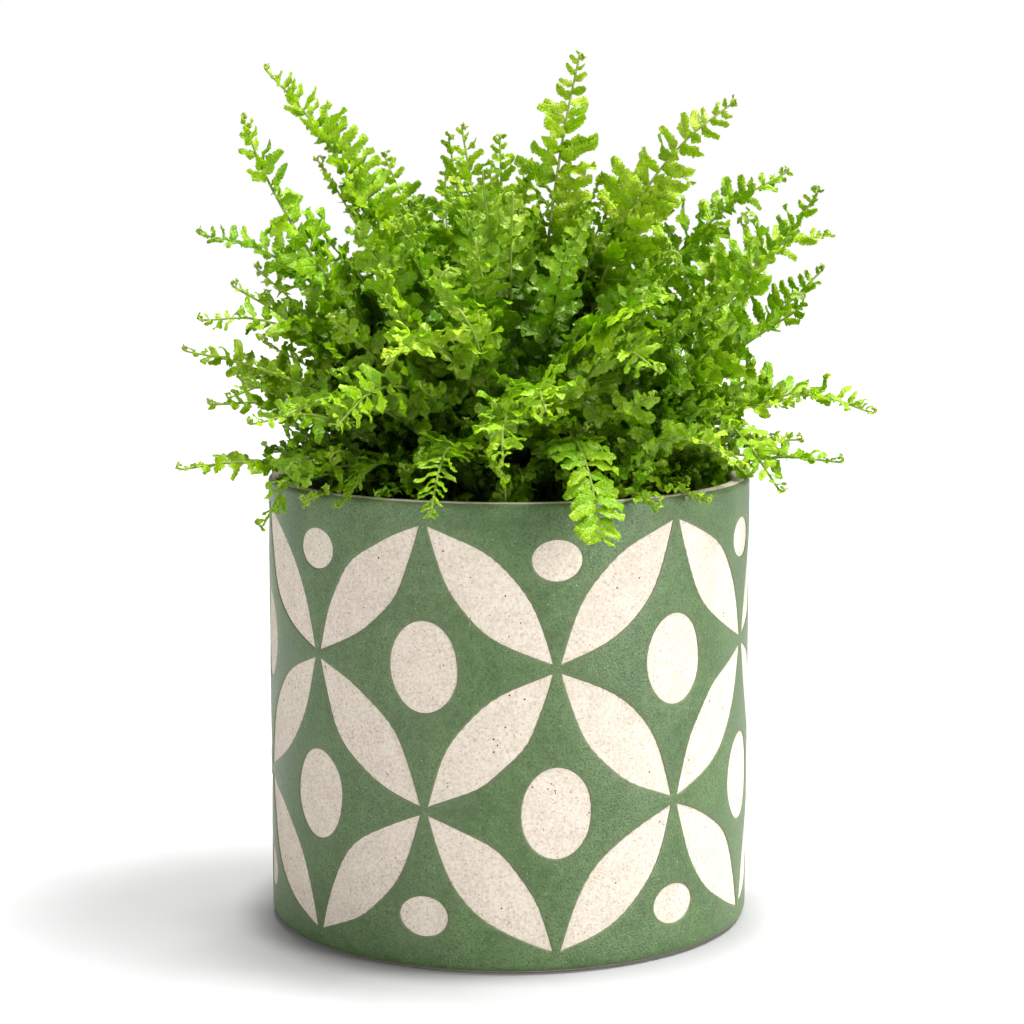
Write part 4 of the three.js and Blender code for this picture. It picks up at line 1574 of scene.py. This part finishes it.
@dataclass
class CoverPot:
    """The stoneware cover pot: a clay body, the glaze on its wall with bare shapes, and a glazed inside."""

    radius: float
    height: float
    wall: float = 6 * MM
    floor: float = 7 * MM
    foot: float = 3.2 * MM
    lip: float = 1.4 * MM
    cove: float = 4 * MM
    glaze: float = 0.3 * MM
    glaze_foot: float = 0.8 * MM
    glaze_top: float = 0.12 * MM
    glaze_sink: float = 0.1 * MM
    edge: float = 0.6 * MM
    edge_share: float = 0.12
    near_end: tuple[float, ...] = (0.0, 0.35 * MM, 0.9 * MM, 1.6 * MM, 2.6 * MM, 3.8 * MM)
    levels: int = 24
    lining_top: float = 2.2 * MM
    lining_flat: float = 20 * MM
    lining_rise: float = 0.5 * MM
    lining_sides: int = 96
    lattice: Lattice = field(default_factory=Lattice)
    lattice_turn: float = 14 * MM
    sides: int = 160

    SEED = 31
    SHAPE_REACH = 40 * MM
    SNAP = 1e-5

    def __post_init__(self) -> None:
        """Works out the clay's own radius and the wall's length round."""
        self.clay_radius = self.radius - self.glaze
        self.inside = self.radius - self.wall
        self.round = TURN * self.radius

    def _body(self) -> Array:
        """Returns the profile of the clay body, with its inner wall behind the inside glaze."""
        outer, inner, top, lip = self.clay_radius, self.inside + self.glaze, self.height, self.lip
        turn = (inner - self.cove, self.floor + self.cove)
        parts = [
            [[HUB_RADIUS, 0.0]],
            straight((0, 0), (outer - self.foot, 0), 6),
            arc((outer - self.foot, self.foot), self.foot, -90, 0, 8),
            straight((outer, self.foot), (outer, top - lip), 12),
            arc((outer - lip, top - lip), lip, 0, 90),
            arc((inner + lip, top - lip), lip, 90, 180),
            straight((inner, top - lip), (inner, turn[1]), 12),
            arc(turn, self.cove, 0, -90),
            straight((turn[0], self.floor), (0, self.floor), 6),
            [[HUB_RADIUS, self.floor]],
        ]
        return np.vstack(parts)

    def _clay_radius_at(self, height: Array) -> Array:
        """Returns the clay's radius at heights on the wall, with its rounded foot and lip."""
        into_foot = np.clip(self.foot - height, 0, self.foot)
        into_lip = np.clip(height - self.height + self.lip, 0, self.lip)
        radius = self.clay_radius - self.foot + np.sqrt(self.foot**2 - into_foot**2)
        return radius - self.lip + np.sqrt(self.lip**2 - into_lip**2)

    def _bare_places(self) -> list[Array]:
        """Returns the outlines of the bare places on the unrolled wall.

        A shape that crosses the seam of the unrolled wall is there at both of its ends.
        """
        rng, found = np.random.default_rng(self.SEED), []
        for shape in self.lattice.shapes(self.round, self.height):
            outline = shape.outline(rng) + [self.lattice_turn, 0]
            for shift in (-self.round, 0.0, self.round):
                moved = outline + [shift, 0]
                if moved[:, 0].max() > 0 and moved[:, 0].min() < self.round:
                    found.append(moved)
        return found

    def _glaze_sheet(self) -> tuple[Array, Array, Array]:
        """Triangulates the glaze on the unrolled wall, leaving out the bare places.

        Returns:
            The sheet's points as x and z, its triangles, and each point's distance from an edge.
        """
        low, high = self.glaze_foot, self.height - self.glaze_top
        places = self._bare_places()
        across = np.linspace(0, self.round, self.sides + 1)
        ends = np.array(self.near_end)
        up = np.concatenate([low + ends, np.linspace(low, high, self.levels)[2:-2], high - ends[::-1]])
        grid = np.stack(np.meshgrid(across, up), axis=-1).reshape(-1, 2)
        numbers = np.arange(len(grid)).reshape(len(up), len(across))
        seam = [np.column_stack([numbers[:-1, end], numbers[1:, end]]) for end in (0, -1)]
        points, edges, count = [grid], np.vstack(seam).tolist(), len(grid)
        for outline in places:
            ahead, back = np.roll(outline, -1, axis=0), np.roll(outline, 1, axis=0)
            away = unit(np.column_stack([(back - ahead)[:, 1], (ahead - back)[:, 0]]))
            middle = outline.mean(axis=0)
            away *= np.where(((outline - middle) * away).sum() > 0, 1, -1)
            ring = np.arange(len(outline)) + count
            edges += np.column_stack([ring, np.roll(ring, -1)]).tolist()
            points += [outline] + [outline + away * self.edge * share for share in (0.3, 1.0)]
            count += 3 * len(outline)
        flat = (np.concatenate(points) / MM).tolist()
        made = delaunay_2d_cdt([tuple(point) for point in flat], edges, [], 0, self.SNAP)
        sheet = np.array([tuple(point) for point in made[0]]) * MM
        triangles = np.array([face for face in made[2] if len(face) == 3])
        middles = sheet[triangles].mean(axis=1)
        keep = ((middles > (0, low)) & (middles < (self.round, high))).all(axis=1)
        for outline in places:
            keep &= ~inside_outline(middles, outline)
        triangles = triangles[keep]
        used, triangles = np.unique(triangles, return_inverse=True)
        sheet = sheet[used]
        distance = np.minimum(sheet[:, 1] - low, high - sheet[:, 1])
        for outline in places:
            near = np.abs(sheet[:, 0] - outline[:, 0].mean()) < self.SHAPE_REACH
            distance[near] = np.minimum(distance[near], outline_distance(sheet[near], outline))
        return sheet, triangles.reshape(-1, 3), distance

    def _glaze_mesh(self) -> PieceMesh:
        """Wraps the glaze sheet round the wall as a closed thin layer with rounded edges."""
        sheet, triangles, distance = self._glaze_sheet()
        share = np.clip(distance / self.edge, 0, 1)
        height = self.glaze * (self.edge_share + (1 - self.edge_share) * np.sqrt(1 - (1 - share) ** 2))
        angle = sheet[:, 0] / self.radius + math.pi / 2
        wrapped = np.column_stack([np.cos(angle), np.sin(angle)]).round(6) + 0.0
        keys, first, same = np.unique(
            np.column_stack([wrapped, sheet[:, 1].round(7)]), axis=0, return_index=True, return_inverse=True
        )
        triangles = same.ravel()[triangles]
        clay = self._clay_radius_at(keys[:, 2])
        outer = np.column_stack([keys[:, :2] * (clay + height[first])[:, None], keys[:, 2]])
        inner = np.column_stack([keys[:, :2] * (clay - self.glaze_sink)[:, None], keys[:, 2]])
        count = len(outer)
        sides = np.vstack([triangles[:, [0, 1]], triangles[:, [1, 2]], triangles[:, [2, 0]]])
        border = self._border(sides)
        walls = np.column_stack([border[:, 1], border[:, 0], border[:, 0] + count, border[:, 1] + count])
        mesh = PieceMesh("glaze_mark")
        mark = np.zeros((2 * count, 3))
        mark[:count, 0] = 1 - eased(distance[first], 0.1 * MM, 1.4 * self.edge)
        mesh.add(np.vstack([outer, inner]), triangles, triangles[:, ::-1] + count, walls, glaze_mark=mark)
        return mesh

    @staticmethod
    def _border(sides: Array) -> Array:
        """Returns the directed sides that have no neighbour going the other way."""
        base = sides.max() + 1
        keys, back = sides[:, 0] * base + sides[:, 1], sides[:, 1] * base + sides[:, 0]
        return sides[~np.isin(keys, back)]

    def _lining(self) -> Array:
        """Returns the profile of the glaze inside the pot, a thin layer from below the rim to the floor."""
        radius, top = self.inside, self.height - self.lining_top
        turn = (radius - self.cove, self.floor + self.cove + self.glaze)
        inner = np.vstack([
            [[HUB_RADIUS, self.floor + self.glaze]],
            [[radius - self.cove - self.lining_flat, self.floor + self.glaze]],
            arc(turn, self.cove, -90, 0),
            straight((radius, turn[1]), (radius, top), 14),
            [[radius, top], [radius + self.glaze, top + self.lining_rise]],
        ])
        behind = inner[::-1] + [self.glaze * 0.6, -self.glaze * 0.6]
        return np.vstack([inner, behind])[::-1]

    def build(self, clay: Material, glaze: Material) -> None:
        """Builds and dresses the pot's three pieces."""
        body = PieceMesh()
        body.add(*lathe(self._body(), self.sides))
        dress(body.build("cover_pot_clay", clay), Slot.CLAY, "outer_pot")
        dress(self._glaze_mesh().build("cover_pot_glaze", glaze), Slot.GLAZE, "outer_pot")
        lining = PieceMesh("glaze_mark")
        lining.add(*lathe(self._lining(), self.lining_sides))
        dress(lining.build("cover_pot_lining", glaze), Slot.GLAZE)


def inside_outline(points: Array, outline: Array) -> Array:
    """Tells which points are inside a closed outline.

    Args:
        points: the points, one a row.
        outline: the outline's corners in order.

    Returns:
        True for each point inside.
    """
    inside = np.zeros(len(points), bool)
    low, high = outline.min(axis=0), outline.max(axis=0)
    near = ((points > low) & (points < high)).all(axis=1)
    x, y = points[near].T
    hits = np.zeros(near.sum(), int)
    for (x0, y0), (x1, y1) in zip(outline, np.roll(outline, -1, axis=0)):
        if y0 != y1:
            hits += ((y0 > y) != (y1 > y)) & (x < x0 + (y - y0) * (x1 - x0) / (y1 - y0))
    inside[near] = hits % 2 == 1
    return inside


def outline_distance(points: Array, outline: Array) -> Array:
    """Returns how far each point is from a closed outline."""
    start, step = outline, np.roll(outline, -1, axis=0) - outline
    away = points[:, None] - start[None]
    share = np.clip((away * step).sum(-1) / np.maximum((step**2).sum(-1), 1e-18), 0, 1)
    return np.linalg.norm(away - share[..., None] * step, axis=-1).min(axis=1)


@dataclass
class NurseryPot:
    """The thin plastic pot that the fern grows in, with a rolled rim."""

    bottom: float
    top: float
    rim_radius: float
    foot_radius: float = 53 * MM
    mouth_radius: float = 62.5 * MM
    wall: float = 1.4 * MM
    rim_depth: float = 8 * MM
    rounding: float = 2 * MM
    roll: float = 0.7 * MM
    sides: int = 128

    def build(self, material: Material) -> None:
        """Builds and dresses the pot."""
        slope = (self.mouth_radius - self.foot_radius) / (self.top - self.bottom)
        under = self.top - self.rim_depth
        under_radius = self.mouth_radius - slope * self.rim_depth
        roll, turn, inner_floor = self.roll, self.rounding, self.bottom + self.wall
        inner_mouth, inner_foot = self.mouth_radius - self.wall, self.foot_radius - self.wall
        profile = np.vstack([
            [[HUB_RADIUS, self.bottom]],
            arc((self.foot_radius - turn, self.bottom + turn), turn, -90, 0),
            straight((self.foot_radius, self.bottom + turn), (under_radius, under), 20),
            [[under_radius, under]],
            arc((self.rim_radius - roll, under + roll), roll, -90, 0, 3),
            arc((self.rim_radius - roll, self.top - roll), roll, 0, 90, 4),
            arc((inner_mouth + roll, self.top - roll), roll, 90, 180, 4),
            straight((inner_mouth, self.top), (inner_foot, inner_floor), 20),
            [[inner_foot, inner_floor], [HUB_RADIUS, inner_floor]],
        ])
        mesh = PieceMesh()
        mesh.add(*lathe(profile, self.sides))
        dress(mesh.build("nursery_pot_rolled", material), Slot.PLASTIC, "nursery_pot")


class Crumb:
    """A twenty-sided lump of unit size, the start of every crumb of peat."""

    GOLD = (1 + math.sqrt(5)) / 2
    CORNERS = unit(np.array([
        (-1, GOLD, 0), (1, GOLD, 0), (-1, -GOLD, 0), (1, -GOLD, 0), (0, -1, GOLD), (0, 1, GOLD),
        (0, -1, -GOLD), (0, 1, -GOLD), (GOLD, 0, -1), (GOLD, 0, 1), (-GOLD, 0, -1), (-GOLD, 0, 1),
    ]))
    FACES = np.array([
        (0, 11, 5), (0, 5, 1), (0, 1, 7), (0, 7, 10), (0, 10, 11), (1, 5, 9), (5, 11, 4), (11, 10, 2),
        (10, 7, 6), (7, 1, 8), (3, 9, 4), (3, 4, 2), (3, 2, 6), (3, 6, 8), (3, 8, 9), (4, 9, 5),
        (2, 4, 11), (6, 2, 10), (8, 6, 7), (9, 8, 1),
    ])


@dataclass
class Peat:
    """The peat that fills the nursery pot: a lumpy top with loose crumbs, round the stock's hole."""

    bottom: float
    top: float
    radius: float
    hole_radius: float = 29.4 * MM
    hole_depth: float = 6 * MM
    foot_radius: float = 51.3 * MM
    lump: float = 1.1 * MM
    crumbs: int = 620
    crumb_size: tuple[float, float] = (0.6 * MM, 2.1 * MM)
    scatter: float = 1.2 * MM
    hole_gap: float = 2 * MM
    wall_gap: float = 2.4 * MM
    sides: int = 120

    SEED = 77

    def build(self, material: Material) -> None:
        """Builds and dresses the peat."""
        rng = np.random.default_rng(self.SEED)
        level = self.top - self.lump
        profile = np.vstack([
            [[HUB_RADIUS, self.bottom], [self.foot_radius, self.bottom]],
            straight((self.foot_radius, self.bottom), (self.radius, level), 8),
            [[self.radius, level]],
            straight((self.radius, level), (self.hole_radius, level), 22),
            [[self.hole_radius, level], [self.hole_radius, level - self.hole_depth]],
            [[HUB_RADIUS, level - self.hole_depth]],
        ])
        points, faces = lathe(profile, self.sides)
        ring = np.hypot(points[:, 0], points[:, 1])
        upper = (points[:, 2] > level - MM) & (ring > self.hole_radius - MM)
        lumps = waves(points[upper], 16 * MM, rng) + 0.5 * waves(points[upper], 5 * MM, rng)
        points[upper, 2] += self.lump * lumps - MM
        mesh = PieceMesh()
        mesh.add(points, faces)
        surface = points[upper]
        for place in surface[rng.integers(0, len(surface), self.crumbs)]:
            size = rng.uniform(*self.crumb_size) * rng.uniform(0.6, 1.2, 3)
            spot = place + rng.normal(0, self.scatter, 3) * (1, 1, 0)
            reach = math.hypot(*spot[:2])
            spot[:2] *= np.clip(reach, self.hole_radius + self.hole_gap, self.radius - self.wall_gap) / reach
            mesh.add(spot + Crumb.CORNERS * size * rng.uniform(0.75, 1.15, (12, 1)), Crumb.FACES)
        dress(mesh.build("peat_crumbs", material, smooth=False), Slot.PEAT, "soil")


@dataclass
class Stock:
    """The fern's low brown stock, covered in narrow scales and stubs of old stalks."""

    bottom: float
    top: float
    radius: float
    skirt: float = 3 * MM
    hub_radius: float = 0.3 * MM
    lump: float = 0.5 * MM
    scales: tuple[int, float, float] = (420, 4.5 * MM, 0.55 * MM)
    stubs: tuple[int, float, float] = (36, 9 * MM, 1.1 * MM)
    spike_root: float = 0.6 * MM
    sides: int = 72

    SEED = 55
    SPIKE_SIDES = np.array([(0, 1, 4), (1, 2, 4), (2, 3, 4), (3, 0, 4)])
    SPIKE_FOOT = np.array([(3, 2, 1, 0)])

    def _surface(self, share: Array, angle: Array) -> tuple[Array, Array]:
        """Returns points of the dome and the way out of it, from its middle (0) to its foot (1)."""
        rise = self.top - self.bottom - self.skirt
        tilt = share * math.pi / 2
        reach, height = np.sin(tilt) * self.radius, self.bottom + self.skirt + np.cos(tilt) * rise
        spots = np.column_stack([reach * np.cos(angle), reach * np.sin(angle), height])
        out = np.column_stack([np.sin(tilt) * np.cos(angle), np.sin(tilt) * np.sin(angle), np.cos(tilt)])
        return spots, unit(out)

    def _spikes(
        self, mesh: PieceMesh, count: int, length: float, width: float, rng: Draws
    ) -> None:
        """Adds narrow four-sided spikes that lean outwards.

        Args:
            mesh: the piece that takes them.
            count: how many.
            length: their usual length.
            width: their width at the foot.
            rng: the seeded draws.
        """
        spots, out = self._surface(np.sqrt(rng.uniform(0.02, 0.95, count)), rng.uniform(0, TURN, count))
        lean = unit(out + 0.7 * unit(rng.normal(size=(count, 3))))
        side = unit(np.cross(lean, rng.normal(size=(count, 3))))
        back = np.cross(lean, side)
        span = length * rng.uniform(0.5, 1.2, (count, 1))
        for spot, way, across, flat, reach in zip(spots, lean, side, back, span):
            foot, wide, thick = spot - way * self.spike_root, across * width, flat * width * 0.4
            points = np.array([foot + wide, foot + thick, foot - wide, foot - thick, spot + way * reach])
            mesh.add(points, self.SPIKE_SIDES, self.SPIKE_FOOT)

    def build(self, material: Material) -> None:
        """Builds and dresses the stock."""
        rng = np.random.default_rng(self.SEED)
        rings = np.linspace(1, 0.01, 20)
        dome, _ = self._surface(rings, rings * 0)
        profile = np.vstack([[[self.hub_radius, self.bottom], [self.radius, self.bottom]], dome[:, [0, 2]]])
        points, faces = lathe(profile, self.sides)
        upper = points[:, 2] > self.bottom + self.skirt
        points[upper, 2] += self.lump * (waves(points[upper], 7 * MM, rng) - 1)
        mesh = PieceMesh()
        mesh.add(points, faces)
        for count, length, width in (self.scales, self.stubs):
            self._spikes(mesh, count, length, width, rng)
        dress(mesh.build("stock_scales", material, smooth=False), Slot.STOCK, "crown")


@dataclass(frozen=True)
class Sun:
    """A soft far light.

    Attributes:
        name: its name.
        power: its strength.
        size: how wide it looks, in degrees.
        bearing: where it stands, in degrees from the front towards the right.
        height: its height above the horizon in degrees.
    """

    name: str
    power: float
    size: float
    bearing: float
    height: float

    def add(self) -> None:
        """Adds the light to the scene."""
        light = bpy.data.lights.new(self.name, "SUN")
        light.energy, light.angle = self.power, math.radians(self.size)
        lamp = bpy.data.objects.new(self.name, light)
        lamp.rotation_euler = (math.radians(90 - self.height), 0.0, math.radians(self.bearing))
        bpy.context.scene.collection.objects.link(lamp)


@dataclass(frozen=True)
class Panel:
    """A soft panel light that looks at the pot.

    Attributes:
        name: its name.
        power: its power in watts.
        at: where it stands.
        size: its width and height.
    """

    name: str
    power: float
    at: tuple[float, float, float]
    size: tuple[float, float]

    GOAL = (0.0, 0.0, 0.09)

    def add(self) -> None:
        """Adds the light to the scene."""
        light = bpy.data.lights.new(self.name, "AREA")
        light.shape, light.energy, (light.size, light.size_y) = "RECTANGLE", self.power, self.size
        lamp = bpy.data.objects.new(self.name, light)
        lamp.location = self.at
        across, ahead, up = np.subtract(self.GOAL, self.at)
        tilt = math.pi / 2 + math.atan2(up, math.hypot(across, ahead))
        lamp.rotation_euler = (tilt, 0.0, math.atan2(-across, ahead))
        bpy.context.scene.collection.objects.link(lamp)


@dataclass
class Studio:
    """The floor, the light and the camera."""

    camera_at: tuple[float, float, float] = (0.0, -0.811, 0.235)
    camera_tilt: float = 7.64
    lens: float = 91.8
    sensor: float = 36.0
    shift: float = 3 / 1024
    seen_from: tuple[float, float] = (0.05, 50.0)
    floor_size: float = 8.0
    sky: float = 0.3
    lights: tuple[Sun | Panel, ...] = (
        Sun("key", power=4.8, size=22.0, bearing=97.0, height=65.0),
        Sun("top", power=3.0, size=13.0, bearing=185.0, height=79.0),
        Panel("front_panel", power=24.0, at=(1.4, -0.98, 0.43), size=(0.5, 1.05)),
        Panel("left_panel", power=7.0, at=(-1.1, -1.1, 0.5), size=(0.6, 1.1)),
    )

    def _world(self) -> None:
        """Makes a white backdrop that lights the scene more softly than it looks."""
        world = bpy.data.worlds.new("studio_white")
        bpy.context.scene.world = world
        world.use_nodes = True
        world.node_tree.nodes.clear()
        shade = Shading(world.node_tree)
        seen = shade.node("ShaderNodeBackground", {"Color": (1, 1, 1, 1), "Strength": 1.0})
        cast = shade.node("ShaderNodeBackground", {"Color": (1, 1, 1, 1), "Strength": self.sky})
        path = shade.node("ShaderNodeLightPath").outputs["Is Camera Ray"]
        both = shade.node("ShaderNodeMixShader", {0: path, 1: cast.outputs[0], 2: seen.outputs[0]})
        shade.node("ShaderNodeOutputWorld", {0: both.outputs[0]})

    def _floor(self) -> None:
        """Lays the plain pale floor."""
        half = self.floor_size / 2
        corners = np.array([(-half, -half, 0), (half, -half, 0), (half, half, 0), (-half, half, 0)])
        mesh = PieceMesh()
        mesh.add(corners, np.array([(0, 1, 2, 3)]))
        mesh.build("studio_floor", FloorFinish().build())

    def build(self) -> None:
        """Sets up everything that isn't part of the object."""
        scene = bpy.context.scene
        scene.view_settings.view_transform = "Standard"
        camera = bpy.data.cameras.new("camera")
        camera.lens, camera.sensor_width, camera.shift_x = self.lens, self.sensor, self.shift
        camera.clip_start, camera.clip_end = self.seen_from
        holder = bpy.data.objects.new("camera", camera)
        holder.location = self.camera_at
        holder.rotation_euler = (math.radians(90 - self.camera_tilt), 0.0, 0.0)
        scene.collection.objects.link(holder)
        scene.camera = holder
        self._world()
        self._floor()
        for light in self.lights:
            light.add()


def main() -> None:
    """Builds every piece on the frame."""
    logging.basicConfig(level=logging.INFO, format="%(message)s")
    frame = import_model()
    Studio().build()
    effects = Effects()
    leaf = LeafFinish().build(effects)
    _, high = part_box("outer_pot")
    pot = CoverPot(high.x, high.z)
    pot.build(ClayFinish().build(effects), GlazeFinish().build(effects))
    low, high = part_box("nursery_pot")
    NurseryPot(low.z, high.z, high.x).build(NURSERY_PLASTIC.build(effects))
    low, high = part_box("soil")
    clearance = Clearance(pot.inside, pot.radius, pot.height, high.z)
    Peat(low.z, high.z, high.x - PEAT_GAP).build(DAMP_PEAT.build(effects))
    low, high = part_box("crown")
    Stock(low.z, high.z, high.x).build(BROWN_SCALES.build(effects))
    Fern(frame["nodes"], clearance).build(leaf)
    YoungFronds(clearance, high.z).build(leaf)


if __name__ == "__main__":
    main()
